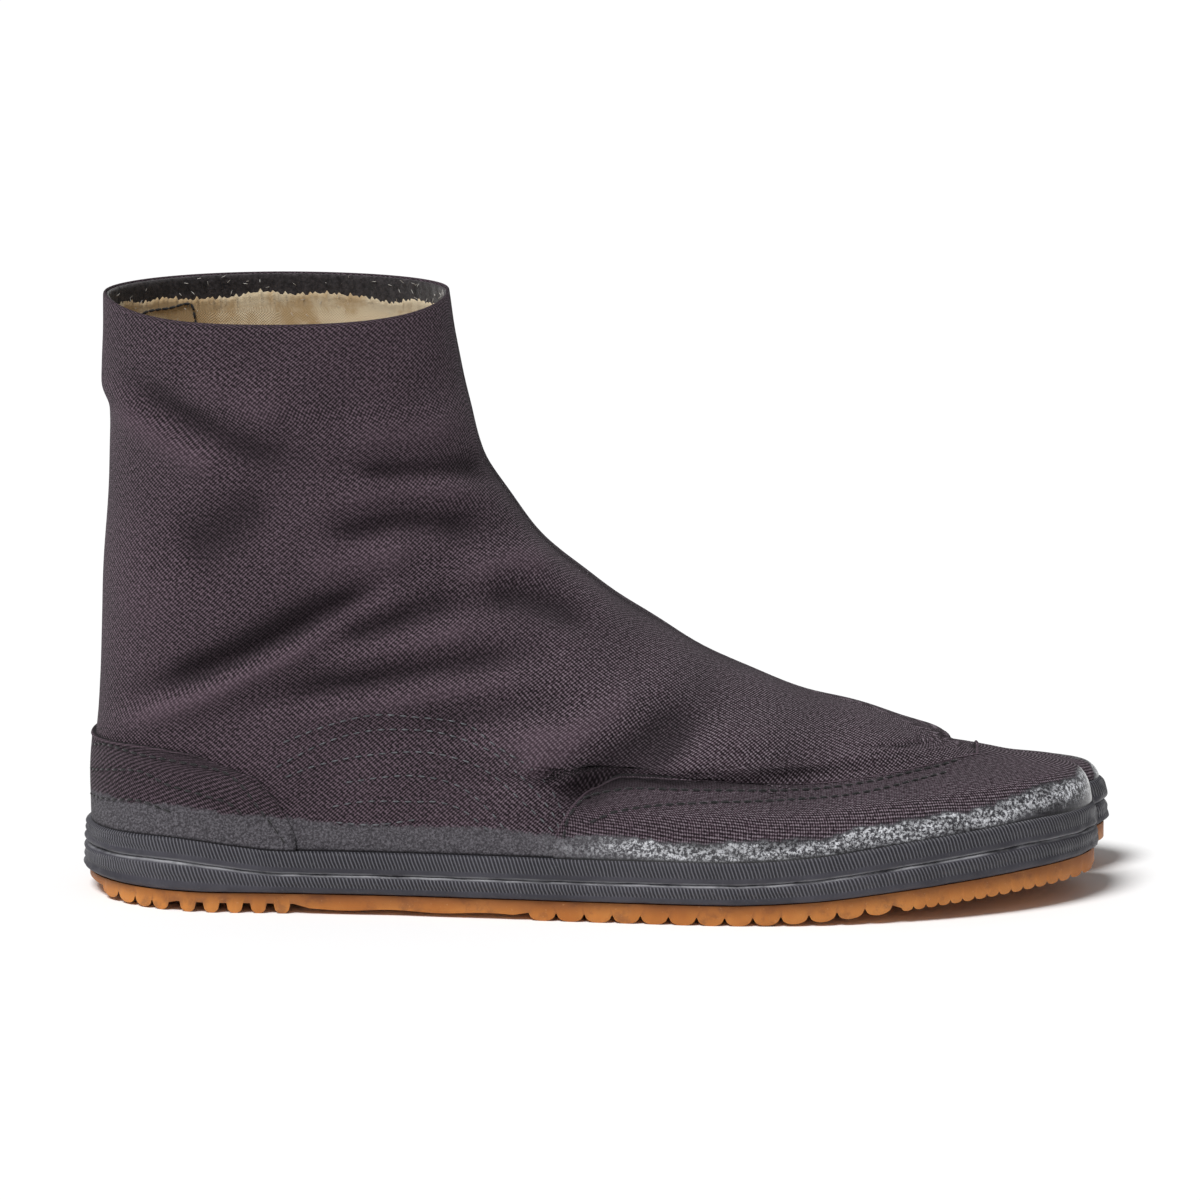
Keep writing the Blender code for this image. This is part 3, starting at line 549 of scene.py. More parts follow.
def foxing_level(column, below):
    return level_where(column, lambda p: p[:, 2] - feather(p[:, 0]) <= foxing_height(p[:, 0]) - below)


# cloth coordinates


def cloth_map(grid):
    """Lengths along and up the cloth from the heel and the sole: the outer and the inner half."""
    steps = np.linalg.norm(np.diff(grid, axis=1, append=grid[:, :1]), axis=2)
    along = np.concatenate([np.zeros((len(grid), 1)), np.cumsum(steps, axis=1)], axis=1)
    up = climbed(grid)
    up = np.concatenate([up, up[:, :1]], axis=1)
    return [np.stack([run, up], axis=2) for run in (along, along - along[:, -1:])]


def climbed(grid):
    """How far up the cloth each point is, adding the gaps between the loops square to them."""
    up = [np.zeros(grid.shape[1])]
    for below, loop in zip(grid[:-1], grid[1:]):
        best = np.full(len(loop), 1e9)
        found = np.zeros(len(loop))
        for shift in range(-8, 8):
            a, b = np.roll(below, -shift, axis=0), np.roll(below, -shift - 1, axis=0)
            va, vb = np.roll(up[-1], -shift), np.roll(up[-1], -shift - 1)
            step = b - a
            t = np.clip(((loop - a) * step).sum(1) / np.maximum((step * step).sum(1), 1e-15), 0, 1)
            gap = np.linalg.norm(loop - a - t[:, None] * step, axis=1)
            near = gap < best
            best = np.where(near, gap, best)
            found = np.where(near, va + t * (vb - va) + gap, found)
        up.append(found)
    return np.array(up)


def smear_height(points):
    """Height of the wiped rubber cement above the foxing."""
    return COLLAR_HEIGHT * read(SMEAR, "height", points[:, 0] / LENGTH)


def placed(name, data):
    """A new object in the scene."""
    made = bpy.data.objects.new(name, data)
    bpy.context.scene.collection.objects.link(made)
    return made


def mesh_piece(name, points, faces, stands_for, look):
    """A piece that rides the shoe and stands for a node of the solids."""
    mesh = bpy.data.meshes.new(name)
    corners = np.asarray(points).reshape(-1, 3) + SHIFT
    mesh.from_pydata([tuple(p) for p in corners], [], [tuple(f) for f in faces])
    mesh.materials.append(look)
    made = placed(name, mesh)
    mesh.shade_smooth()
    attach(made, "root")
    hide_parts(stands_for)
    return made


def band_faces(count, columns, closed=True):
    """Quads of a grid of count rows by columns, as an array."""
    across = np.arange(columns if closed else columns - 1)
    r, c = np.meshgrid(np.arange(count - 1), across, indexing="ij")
    d = (c + 1) % columns
    below, above = r * columns, (r + 1) * columns
    return np.stack([below + c, below + d, above + d, above + c], axis=2).reshape(-1, 4)


def tube_faces(count):
    """Quads of closed rings of COLUMNS points, with the last ring joined to the first."""
    c = np.arange(COLUMNS)
    d = (c + 1) % COLUMNS
    last = (count - 1) * COLUMNS
    return np.vstack([band_faces(count, COLUMNS), np.stack([last + c, last + d, d, c], axis=1)])


def set_uv(piece, name, values):
    """Values has a pair for each corner of each face."""
    layer = piece.data.uv_layers.new(name=name)
    layer.data.foreach_set("uv", np.asarray(values, np.float32).ravel())


def set_point_values(piece, name, values):
    """Values has a number for each point."""
    layer = piece.data.attributes.new(name, "FLOAT", "POINT")
    layer.data.foreach_set("value", np.asarray(values, np.float32).ravel())


# Where the smear turns glossy and where it is lower on the big toe, as shares of LENGTH, how much
# lower it is there, and how far it stops short in the split, in millimetres.
GLOSS_START, GLOSS_RUN = 0.42, 0.16
BIG_TOE_START, BIG_TOE_RUN, BIG_TOE_LESS = 0.84, 0.06, 0.5
SPLIT_SHORT = 14


def smear_values(points):
    """How far a point is below the upper edge of the smear, in millimetres."""
    far = smooth((points[:, 1] - SPLIT_Y) / (10 * MM))
    far = far * smooth((points[:, 0] / LENGTH - BIG_TOE_START) / BIG_TOE_RUN)
    return smear_height(points) / MM * (1 - BIG_TOE_LESS * far) - above_foxing(points)


def above_foxing(points):
    """How far a point is above the rubber foxing, in millimetres."""
    return (points[:, 2] - feather(points[:, 0]) - foxing_height(points[:, 0])) / MM


def set_wrapped_uv(piece, name, maps, count):
    """The cloth map at each corner of a tube's quads, with its seam at the nose."""
    outer, inner = maps
    quads = []
    for r in range(count - 1):
        for c in range(COLUMNS):
            run = outer if c < HALF else inner
            quads.append([run[r, c], run[r, c + 1], run[r + 1, c + 1], run[r + 1, c]])
    joining = np.zeros((COLUMNS * 4, 2))
    set_uv(piece, name, np.vstack([np.array(quads).reshape(-1, 2), joining]))


# finishes


class Finish:
    """A material being wired: each call adds a node and gives back its output."""

    def __init__(self, name, **sockets):
        self.look = bpy.data.materials.new(name)
        self.look.use_nodes = True
        self.tree = self.look.node_tree
        self.shader = next(n for n in self.tree.nodes if n.type == "BSDF_PRINCIPLED")
        for socket, value in sockets.items():
            self.shader.inputs[socket.replace("_", " ")].default_value = value

    def node(self, kind, inputs=(), **settings):
        """A new node with its settings and its inputs, by name or by number."""
        made = self.tree.nodes.new(kind)
        for setting, value in settings.items():
            setattr(made, setting, value)
        for socket, value in dict(inputs).items():
            self.put(made.inputs[socket], value)
        return made

    def put(self, socket, value):
        """Links an output to a socket, or sets its value."""
        if isinstance(value, bpy.types.NodeSocket):
            self.tree.links.new(value, socket)
        else:
            socket.default_value = value

    def maths(self, operation, *values):
        return self.node("ShaderNodeMath", dict(enumerate(values)), operation=operation).outputs[0]

    def plus(self, a, b):
        return self.maths("ADD", a, b)

    def minus(self, a, b):
        return self.maths("SUBTRACT", a, b)

    def times(self, a, b):
        return self.maths("MULTIPLY", a, b)

    def place(self):
        """The place of a point in the object."""
        return self.node("ShaderNodeTexCoord").outputs["Object"]

    def cloth_place(self, name):
        """The place of a point in a cloth map, in metres."""
        return self.node("ShaderNodeUVMap", uv_map=name).outputs[0]

    def parts(self, vector):
        return self.node("ShaderNodeSeparateXYZ", {0: vector}).outputs

    def value(self, name):
        """A value that the mesh carries at its points."""
        return self.node("ShaderNodeAttribute", attribute_name=name).outputs["Fac"]

    def noise(self, vector, scale, detail=3.0, rough=0.55, stretch=None):
        """Noise from 0 to 1, with its scale in spots to a metre."""
        if stretch:
            vector = self.node("ShaderNodeMapping", {"Vector": vector, "Scale": stretch}).outputs[0]
        inputs = {"Vector": vector, "Scale": scale, "Detail": detail, "Roughness": rough}
        return self.node("ShaderNodeTexNoise", inputs).outputs["Fac"]

    def drift(self, vector, height, *noise):
        """Noise on both sides of 0, a height from its lowest to its highest."""
        return self.times(self.minus(self.noise(vector, *noise), 0.5), height)

    def ease(self, value, low, high, to_low=0.0, to_high=1.0):
        """An even change from one value to another between two limits."""
        limits = {"From Min": low, "From Max": high, "To Min": to_low, "To Max": to_high}
        made = self.node("ShaderNodeMapRange", {"Value": value, **limits})
        made.interpolation_type = "SMOOTHSTEP"
        return made.outputs[0]

    def tint(self, base, share, strength, colour):
        """A colour laid over another where share is high."""
        return self.blend(self.times(share, strength), base, colour)

    def blend(self, share, a, b):
        made = self.node("ShaderNodeMix", {"Factor": share}, data_type="RGBA")
        self.put(made.inputs["A"], a if isinstance(a, bpy.types.NodeSocket) else (*a, 1))
        self.put(made.inputs["B"], b if isinstance(b, bpy.types.NodeSocket) else (*b, 1))
        return made.outputs["Result"]

    def bump(self, height, strength, distance):
        inputs = {"Height": height, "Strength": strength, "Distance": distance}
        return self.node("ShaderNodeBump", inputs).outputs[0]

    def wave(self, u, v, pitch, degrees):
        """Parallel ribs a pitch apart, running down to the right at an angle."""
        turn = math.radians(degrees)
        across = self.plus(self.times(u, math.sin(turn)), self.times(v, math.cos(turn)))
        return self.maths("SINE", self.times(across, 2 * math.pi / pitch))

    def done(self, **sockets):
        """Puts outputs or values into the shader and gives back the material."""
        for socket, value in sockets.items():
            self.put(self.shader.inputs[socket.replace("_", " ")], value)
        return self.look


def shades(colour, *shares):
    """Lighter and darker shades of a colour."""
    return [tuple(c * share for c in colour) for share in shares]


# The pitches of the weaves and of the ribs of the foxing.
TWILL_RIB = 0.98 * MM
TWILL_YARN = 0.66 * MM
FOXING_RIB = 0.92 * MM
FOXING_RIB_ANGLE = 72
COTTON_THREAD = 0.75 * MM
# How deep the bumps of each finish are.
TWILL_RELIEF = 0.19 * MM
RUBBER_RELIEF = 0.22 * MM
COTTON_RELIEF = 0.14 * MM
THREAD_RELIEF = 0.05 * MM
TAPE_RELIEF = 0.35 * MM

# The twill's painted glints and painted shade in the pits of its grains, painted shade in its
# hollows, painted shadow at its edges, a painted shadow line over the foxing, and the lint.
GRAIN_GLINT, PIT_SHADE = (0.30, 0.265, 0.295), (0.006, 0.004, 0.005)
FOLD_SHADE, EDGE_SHADOW = (0.008, 0.005, 0.007), (0.004, 0.003, 0.004)
FOXING_SHADOW, CLOTH_LINT = (0.004, 0.004, 0.005), (0.26, 0.23, 0.24)
# The wiped cement: grey on the heel, black and glossy towards the toes.
CEMENT_GREYS = (0.048, 0.045, 0.051), (0.140, 0.132, 0.147)
CEMENT_BLACKS = (0.007, 0.007, 0.010), (0.052, 0.052, 0.060)
CEMENT_GLINT = (0.80, 0.81, 0.85)


def twill(name, degrees, steep, colour):
    """Faded twill: slanting ribs crossed by yarns, lint, wear, painted light and shade, wiped cement."""
    f = Finish(name, Sheen_Weight=0.04, Sheen_Roughness=0.5, Specular_IOR_Level=0.18, Coat_Roughness=0.2)
    place, weave = f.place(), f.cloth_place("weave")
    u, v, _ = f.parts(weave)
    v = f.plus(v, f.drift(place, 3.0 * MM, 40, 2))
    ribs = f.wave(u, v, TWILL_RIB, degrees)
    yarns = f.wave(u, v, TWILL_YARN, degrees - steep)
    uneven = f.noise(weave, 1150, 3, 0.7)
    height = f.plus(f.plus(f.times(ribs, 0.55), f.times(yarns, 0.22)), f.times(uneven, 1.3))
    faded = f.ease(f.noise(place, 26, 4, 0.6), 0.35, 0.68)
    grains = f.times(f.plus(uneven, f.times(yarns, 0.12)), 6.4)
    # Wear of the faded ribs, which also stands for painted glints on the yarns.
    worn = f.ease(f.plus(f.times(ribs, 0.8), grains), 2.2, 4.7)
    dark, light, crest_painted_light, edge_painted_light = shades(colour, 0.14, 3.0, 2.4, 3.4)
    base = f.blend(f.plus(f.times(worn, 0.80), f.times(faded, 0.07)), dark, light)
    lint = f.ease(f.noise(weave, 950, 2, 0.8, stretch=(1.0, 0.55, 1.0)), 0.69, 0.77)
    lint = f.times(lint, f.ease(f.noise(place, 60, 2), 0.36, 0.60))

    # Painted glints on the grains and painted shade in their pits, more of them towards the toes.
    front = f.ease(f.parts(place)[0], -0.06, 0.05)
    count = f.plus(f.times(ribs, 0.9), grains)
    grain_glints = f.times(f.ease(count, 3.7, 4.8), f.plus(0.12, f.times(front, 0.60)))
    base = f.blend(grain_glints, base, GRAIN_GLINT)
    base = f.blend(f.times(f.ease(count, 3.1, 2.1), f.times(front, 0.65)), base, PIT_SHADE)

    # Painted shade in the hollows of the folds and painted light on their crests, painted light and
    # shadow at the folded edge, and the lint.
    base = f.tint(base, f.ease(f.value("fold"), 0.6, -2.6), 0.66, FOLD_SHADE)
    base = f.tint(base, f.ease(f.value("fold"), 0.4, 2.6), 0.30, crest_painted_light)
    base = f.tint(base, f.ease(f.value("edge"), 0.1, 1.0), 0.34, edge_painted_light)
    base = f.tint(base, f.ease(f.value("edge"), -0.05, -0.8), 0.85, EDGE_SHADOW)
    base = f.tint(base, lint, 0.55, CLOTH_LINT)
    height = f.plus(height, f.times(lint, 0.5))

    # The wiped cement up to its ragged edge.
    ragged_edge = f.drift(place, 3.4, 420, 4, 0.75)
    depth = f.plus(f.plus(f.value("smear"), ragged_edge), f.drift(place, 5.0, 55, 3, 0.6))
    under = f.ease(depth, -0.5, 0.7)
    gloss = f.value("gloss")
    grey = f.blend(f.ease(f.noise(place, 1700, 3, 0.7), 0.40, 0.64), *CEMENT_GREYS)
    streaks = f.ease(f.noise(place, 120, 4, 0.7, stretch=(0.35, 1.0, 2.4)), 0.34, 0.62)
    grey = f.blend(gloss, grey, f.blend(streaks, *CEMENT_BLACKS))
    base = f.tint(base, under, 0.92, grey)
    shine = f.times(under, gloss)
    upper = f.times(f.ease(depth, 0.2, 1.4), f.minus(1.0, f.ease(depth, 3.6, 7.2)))
    glints = f.times(f.ease(f.noise(place, 1150, 3, 0.8), 0.44, 0.60), upper)
    glints = f.times(glints, f.plus(0.25, f.times(streaks, 0.75)))
    base = f.blend(f.times(shine, glints), base, CEMENT_GLINT)
    # A painted shadow line just above the foxing.
    base = f.blend(f.ease(f.value("above"), 0.9, 0.1, 0.0, 0.85), base, FOXING_SHADOW)
    lumps = f.times(f.times(under, f.noise(place, 800, 4, 0.7)), 3.4)
    height = f.plus(f.times(height, f.minus(1.0, f.times(under, 0.7))), lumps)
    rough = f.minus(0.88, f.times(shine, 0.56))
    relief = f.bump(height, 0.9, TWILL_RELIEF)
    return f.done(Base_Color=base, Roughness=rough, Normal=relief, Coat_Weight=f.times(shine, 0.8))


def rubber(name, rib_relief):
    """Dark grey foxing rubber: fine slanted ribs with painted shade and light, a scuffed, dusty skin."""
    f = Finish(name, Specular_IOR_Level=0.45)
    place, run = f.place(), f.cloth_place("run")
    u, v, _ = f.parts(run)
    ribs = f.wave(f.plus(u, f.drift(place, 1.2 * MM, 90, 2)), v, FOXING_RIB, FOXING_RIB_ANGLE)
    ribs = f.times(ribs, f.ease(f.value("ribs"), 0.1, 0.8))
    patchy = f.ease(f.noise(place, 42, 4, 0.65), 0.36, 0.70)
    grain = f.noise(place, 1300, 3, 0.7)
    mix = f.plus(f.times(patchy, 0.6), f.times(grain, 0.4))
    base = f.blend(mix, (0.019, 0.018, 0.026), (0.056, 0.053, 0.068))
    # Painted shade in the grooves of the ribs and painted light on their crests.
    base = f.tint(base, f.ease(ribs, -0.1, -0.9), 0.75, (0.006, 0.006, 0.008))
    base = f.tint(base, f.ease(ribs, 0.0, 0.8), 0.75, (0.150, 0.148, 0.168))
    scuff = f.ease(f.noise(place, 110, 5, 0.7), 0.26, 0.62)
    scuff = f.times(f.ease(f.value("scuff"), 0.45, 0.95), scuff)
    base = f.tint(base, scuff, 0.85, (0.34, 0.34, 0.36))
    base = f.tint(base, f.ease(f.noise(place, 700, 4, 0.8), 0.60, 0.72), 0.22, (0.25, 0.245, 0.24))
    height = f.plus(f.times(ribs, rib_relief), f.times(grain, 0.6))
    height = f.plus(height, f.noise(place, 300, 4, 0.6))
    rough = f.ease(f.noise(place, 200, 3), 0.3, 0.7, 0.40, 0.66)
    return f.done(Base_Color=base, Roughness=rough, Normal=f.bump(height, 0.9, RUBBER_RELIEF))


def gum(name):
    """Orange-brown gum rubber, grimy in patches, darker higher above its lug bottoms, pale where rubbed."""
    f = Finish(name, Specular_IOR_Level=0.45, Subsurface_Weight=0.06)
    f.shader.inputs["Subsurface Radius"].default_value = (0.8 * MM, 0.35 * MM, 0.12 * MM)
    place = f.place()
    broad = f.ease(f.noise(place, 38, 4, 0.6), 0.32, 0.70)
    grain = f.noise(place, 900, 4, 0.7)
    base = f.blend(broad, (0.42, 0.135, 0.018), (0.60, 0.225, 0.038))
    grime = f.ease(f.noise(place, 170, 5, 0.7), 0.50, 0.68)
    base = f.tint(base, grime, 0.45, (0.13, 0.045, 0.018))
    # Darker the higher the rubber stands above the bottom of its lugs.
    base = f.tint(base, f.ease(f.value("recess"), 0.15, 0.9), 0.55, (0.16, 0.045, 0.012))
    base = f.tint(base, f.ease(grain, 0.62, 0.70), 0.35, (0.62, 0.34, 0.16))
    height = f.plus(f.times(grain, 0.8), f.noise(place, 260, 4, 0.6))
    rough = f.ease(broad, 0, 1, 0.62, 0.42)
    return f.done(Base_Color=base, Roughness=rough, Normal=f.bump(height, 0.55, RUBBER_RELIEF))


def cotton(name, uv=None):
    """Cream plain-weave cotton with brown smudges."""
    f = Finish(name, Roughness=0.92, Specular_IOR_Level=0.2, Sheen_Weight=0.15)
    place = f.place()
    weave = f.cloth_place(uv) if uv else place
    u, v, _ = f.parts(weave)
    warp, weft = (f.maths("SINE", f.times(way, 2 * math.pi / COTTON_THREAD)) for way in (u, v))
    threads = f.times(warp, weft)
    slub = f.noise(weave, 300, 4, 0.7, stretch=(0.3, 2.2, 1.0))
    base = f.blend(f.ease(f.plus(threads, slub), 0.0, 1.5), (0.70, 0.56, 0.36), (0.94, 0.82, 0.61))
    base = f.tint(base, f.ease(f.noise(place, 62, 5, 0.65), 0.44, 0.60), 0.66, (0.50, 0.31, 0.125))
    base = f.tint(base, f.ease(f.noise(place, 190, 4, 0.7), 0.60, 0.74), 0.45, (0.20, 0.115, 0.05))
    height = f.plus(f.times(threads, 0.45), f.times(slub, 1.2))
    return f.done(Base_Color=base, Normal=f.bump(height, 0.8, COTTON_RELIEF))


def thread(name, dark, light):
    """Twisted sewing thread or fuzz."""
    f = Finish(name, Roughness=0.8, Specular_IOR_Level=0.3, Sheen_Weight=0.3)
    place = f.place()
    base = f.blend(f.ease(f.noise(place, 900, 2), 0.35, 0.65), dark, light)
    return f.done(Base_Color=base, Normal=f.bump(f.noise(place, 3000, 2), 0.5, THREAD_RELIEF))


def tape(name):
    """Black fuzzy cotton tape."""
    f = Finish(name, Roughness=0.95, Specular_IOR_Level=0.15, Sheen_Weight=0.35)
    place = f.place()
    fuzz = f.noise(place, 800, 5, 0.8)
    base = f.blend(f.ease(fuzz, 0.35, 0.7), (0.012, 0.010, 0.011), (0.060, 0.052, 0.056))
    lint = f.ease(f.noise(place, 1500, 3, 0.85), 0.66, 0.74)
    base = f.tint(base, lint, 0.6, (0.42, 0.40, 0.38))
    return f.done(Base_Color=base, Normal=f.bump(fuzz, 1.0, TAPE_RELIEF))


CANVAS_COLOUR = (0.052, 0.0345, 0.0445)
BODY_TWILL = twill("body twill", 38, 82, CANVAS_COLOUR)
COUNTER_TWILL = twill("counter twill", 24, 80, shades(CANVAS_COLOUR, 0.80)[0])
GUARD_TWILL = twill("guard twill", 8, 84, CANVAS_COLOUR)
RIBBED_RUBBER = rubber("ribbed foxing rubber", 0.9)
PLAIN_RUBBER = rubber("plain foxing rubber", 0.7)
GUM = gum("gum rubber")
COTTON = cotton("lining cotton", "weave")
INSOLE_COTTON = cotton("insole cotton")
FUZZY_TAPE = tape("collar tape")
DARK_THREAD = thread("dark thread", (0.004, 0.004, 0.004), (0.020, 0.018, 0.021))
GREY_THREAD = thread("grey thread", (0.050, 0.053, 0.060), (0.130, 0.134, 0.146))
LINT = thread("lint", (0.45, 0.42, 0.38), (0.80, 0.78, 0.74))

# the cloth upper

# The rolled edge of the collar, up and outward, and the back of the cloth, inward, in millimetres.
ROLL = [(0.45, -0.10), (0.75, -0.35), (0.80, -0.55), (0.60, -0.80), (0.15, -0.90)]
CLOTH_BACK = 0.9
BACK_STEP = 3


def make_canvas_upper():
    """The twill: its outside, the rolled edge of the collar and the back of the cloth."""
    up = np.array([0, 0, 1.0])
    level_out = CLOTH_NORMALS[-1] * [1, 1, 0]
    level_out /= np.linalg.norm(level_out, axis=1, keepdims=True)
    collar = [CLOTH[-1] + up * rise * MM + level_out * out * MM for rise, out in ROLL]
    inner = [INSIDE[k] - NORMALS[k] * CLOTH_BACK * MM for k in range(LOOPS - 1, -1, -BACK_STEP)]
    rings = np.array([*CLOTH, *collar, *inner])
    piece = mesh_piece("canvas_upper", rings, tube_faces(len(rings)), "upper", BODY_TWILL)
    above = [GRID[-1] + up * MM * k for k in range(1, len(collar) + 1)]
    plain = np.array([*GRID, *above, *GRID[LOOPS - 1 :: -BACK_STEP]])
    set_wrapped_uv(piece, "weave", cloth_map(plain), len(rings))
    mark_cloth(piece, rings, np.arange(COLUMNS))
    folds = [*DEPTH, *[DEPTH[-1] * 0] * len(collar), *DEPTH[LOOPS - 1 :: -BACK_STEP]]
    set_point_values(piece, "fold", np.array(folds) / MM)


def mark_cloth(piece, rings, columns):
    """What the twill needs to know at each point: the smear of cement, its gloss and the foxing."""
    points = rings.reshape(-1, 3)
    short = np.tile(in_split(np.array(columns)), len(rings))
    set_point_values(piece, "smear", smear_values(points) - short)
    set_point_values(piece, "gloss", glossy(points))
    set_point_values(piece, "above", above_foxing(points))


def in_split(columns):
    """How far the smear stops short in the split, in millimetres."""
    return SPLIT_SHORT * smooth((7 * ARC - np.abs(columns - HALF)) / (3 * ARC))


def glossy(points):
    """How black and glossy the smear is, from 0 at the heel to 1 at the toes."""
    return smooth((points[:, 0] / LENGTH - GLOSS_START) / GLOSS_RUN)


# The height between the two topmost loops at the heel, in metres. The lining's two faces lie this
# far inside the cloth and its torn part starts this far below the collar, in millimetres.
COLLAR_SPACING = CLOTH[-1, 0, 2] - CLOTH[-2, 0, 2]
LINING_FRONT = 1.85
LINING_BACK = 1.50
LINING_TORN = 9
LINING_ROWS = 56
# The tape's section, up from the collar and inward, in millimetres.
TAPE_PROFILE = [
    (0.2, 0.95), (0.35, 1.15), (0.1, 1.45), (-0.6, 1.62), (-2.0, 1.55),
    (-4.0, 1.50), (-6.0, 1.42), (-8.5, 1.35), (-8.5, 0.95), (-3.0, 0.92),
]


def ragged(column):
    """How far below the collar the torn edge of the lining is, in millimetres."""
    a = column * 2 * math.pi / COLUMNS
    slow = math.sin(5 * a + 0.7) + 0.7 * math.sin(11 * a + 2.1)
    quick = math.sin(47 * a) * math.sin(29 * a + 1.0)
    sharp = abs(math.sin(83 * a + 0.5)) ** 3 + 0.6 * abs(math.sin(61 * a + 1.9)) ** 6
    return 5.2 + 0.5 * slow + 0.4 * quick - 0.55 * sharp


def make_lining():
    """The cotton inside, a thin sheet whose torn edge laps the tape."""
    tops = [LOOPS - 1 - ragged(c) * MM / COLLAR_SPACING for c in range(COLUMNS)]
    whole = LOOPS - 1 - LINING_TORN * MM / COLLAR_SPACING
    levels = [[level] * COLUMNS for level in np.linspace(0, whole, LINING_ROWS)]
    levels += [[whole + (top - whole) * s for top in tops] for s in (0.25, 0.5, 0.75, 1.0)]
    form = (INSIDE, NORMALS)
    rings = []
    for depth, order in ((LINING_FRONT, levels[::-1]), (LINING_BACK, levels)):
        rings += [[on_column(c, row[c], -depth * MM, form) for c in range(COLUMNS)] for row in order]
    rings = np.array(rings)
    piece = mesh_piece("lining", rings, tube_faces(len(rings)), "upper", COTTON)
    set_wrapped_uv(piece, "weave", cloth_map(rings), len(rings))


def make_tape():
    """The black tape turned over inside the collar, behind the lining's edge."""
    rings = []
    for up, inward in TAPE_PROFILE:
        level = LOOPS - 1 + min(up, 0) * MM / COLLAR_SPACING
        ring = []
        for c in range(COLUMNS):
            wavy = 0.12 * math.sin(c * 0.9) * math.sin(c * 0.23) * (1 if inward > 1 else 0)
            point = on_column(c, level, -(inward + wavy) * MM)
            ring.append(point + np.array([0, 0, max(up, 0) * MM]))
        rings.append(ring)
    faces = tube_faces(len(rings))
    mesh_piece("collar_tape", np.array(rings), faces, "collar_facing", FUZZY_TAPE)


# foxing


# The back of the tapes and their plain face, outward from the cloth, in millimetres, and the
# sections of the tapes: a share of the tape's height and how far it stands from the plain face.
BAND_BACK = 0.05
BAND_FACE = 1.9
LOWER_BAND = [
    (0.00, -0.50), (0.04, 0.10), (0.10, 0.45), (0.20, 0.72), (0.32, 0.62), (0.42, 0.50), (0.50, 0.62),
    (0.60, 0.80), (0.72, 0.72), (0.82, 0.50), (0.90, 0.20), (0.96, -0.20), (1.00, -0.70),
]
UPPER_BAND = [
    (0.00, -0.70), (0.03, -0.10), (0.08, 0.18), (0.16, 0.22), (0.26, 0.12), (0.36, 0.10), (0.48, 0.12),
    (0.60, 0.10), (0.72, 0.02), (0.82, -0.10), (0.90, -0.30), (0.96, -0.65), (1.00, -1.15),
]


def band_piece(name, lows, highs, profile, look, stands_for, marks):
    """A rubber tape round the foot, with marks for its ribs and its scuffed edge."""
    rings = []
    for share, proud in profile:
        ring = []
        for c in range(COLUMNS):
            swell = swelling(c, share) if 0 < share < 1 else 0.0
            level = lows[c] + (highs[c] - lows[c]) * share
            ring.append(on_column(c, level, (BAND_FACE + proud + swell) * MM))
        rings.append(ring)
    for levels in (highs, lows):
        rings.append([on_column(c, levels[c], BAND_BACK * MM) for c in range(COLUMNS)])
    rings = np.array(rings)
    piece = mesh_piece(name, rings, tube_faces(len(rings)), stands_for, look)
    maps = cloth_map(rings)
    for run in maps:
        run[:, :, 0] = run[0, :, 0]
    set_wrapped_uv(piece, "run", maps, len(rings))
    for mark, values in marks.items():
        set_point_values(piece, mark, np.repeat([*values, 0.0, 0.0], COLUMNS))


def swelling(column, share):
    """Hand-laid unevenness of the tape, with three bulges at the back of the heel, in millimetres."""
    x, y, _ = CLOTH[0, column] / LENGTH
    uneven = 0.16 * math.sin(61 * x + 23 * y) * math.sin(37 * x - 5 + 3 * share)
    uneven += 0.10 * math.sin(171 * x + 6 * share)
    heel = max(0.0, 1 - x / 0.09)
    bulges = 0.75 * heel * math.sin(3 * math.pi * share) ** 2
    toe = float(smooth((x - 0.93) / 0.05))
    lumps = 0.5 * math.sin(120 * x + 6 * share) * math.sin(80 * y)
    lumps += 0.25 * math.sin(8 * share + 150 * y)
    return uneven + bulges + toe * lumps


def make_foxing():
    """The two tapes, the upper one from the parting line to the top of the foxing."""
    tops = [foxing_level(c, 0) for c in range(COLUMNS)]
    parting = [foxing_level(c, UPPER_BAND_HEIGHT) for c in range(COLUMNS)]
    soles = [0.0] * COLUMNS
    low_marks = dict(
        ribs=[0.75 if 0.35 < s < 0.9 else 0.2 for s, _ in LOWER_BAND],
        scuff=[max(0.0, 1 - abs(s - 0.97) / 0.16) for s, _ in LOWER_BAND],
    )
    up_marks = dict(
        ribs=[float(smooth((s - 0.2) / 0.15)) for s, _ in UPPER_BAND],
        scuff=[max(0.0, 1 - s / 0.22) for s, _ in UPPER_BAND],
    )
    band_piece("foxing_lower_tape", soles, parting, LOWER_BAND, PLAIN_RUBBER, "foxing_lower", low_marks)
    band_piece("foxing_upper_tape", parting, tops, UPPER_BAND, RIBBED_RUBBER, "foxing_upper", up_marks)


# overlays


def within(table, start, reach, height, lean):
    """The test for a point that is inside an overlay's leaning edge."""

    def inside(p):
        place = (p[:, 0] - start) / reach
        high = height * read(table, "height", place, "reach")
        shoulder = OUTER_HALF_WIDTH * read(table, "shoulder", place, "reach")
        lowest = feather(p[:, 0]) + foxing_height(p[:, 0]) + 2 * CLEARANCE + MM
        middle = np.maximum(TRIM_MIDDLE, shoulder - (high - lowest) / lean)
        y = np.maximum(np.abs(p[:, 1]), middle)
        return p[:, 2] < high + lean * (y - shoulder)

    return inside


# An overlay's face and back, outward from the cloth in millimetres, and its folded edge as rows of
# height above the edge, outward distance and a mark for painted light on the fold (above 0) and
# painted shadow under it (below 0). Its back has rows at three shares of its height, and it reaches
# down behind the foxing by OVERLAY_HIDDEN.
OVERLAY_FACE = 0.95
OVERLAY_BACK = -0.5
OVERLAY_FOLD = [
    (0.30, 1.12, 0.4), (0.65, 1.32, 1.0), (1.00, 1.24, 0.5), (1.18, 0.75, -0.8), (1.10, -0.3, -1.0),
]
OVERLAY_BACK_SHARES = (0.66, 0.33, 0.0)
OVERLAY_HIDDEN = 1.5 * MM
COUNTER_RINGS = 24
GUARD_RINGS = 60


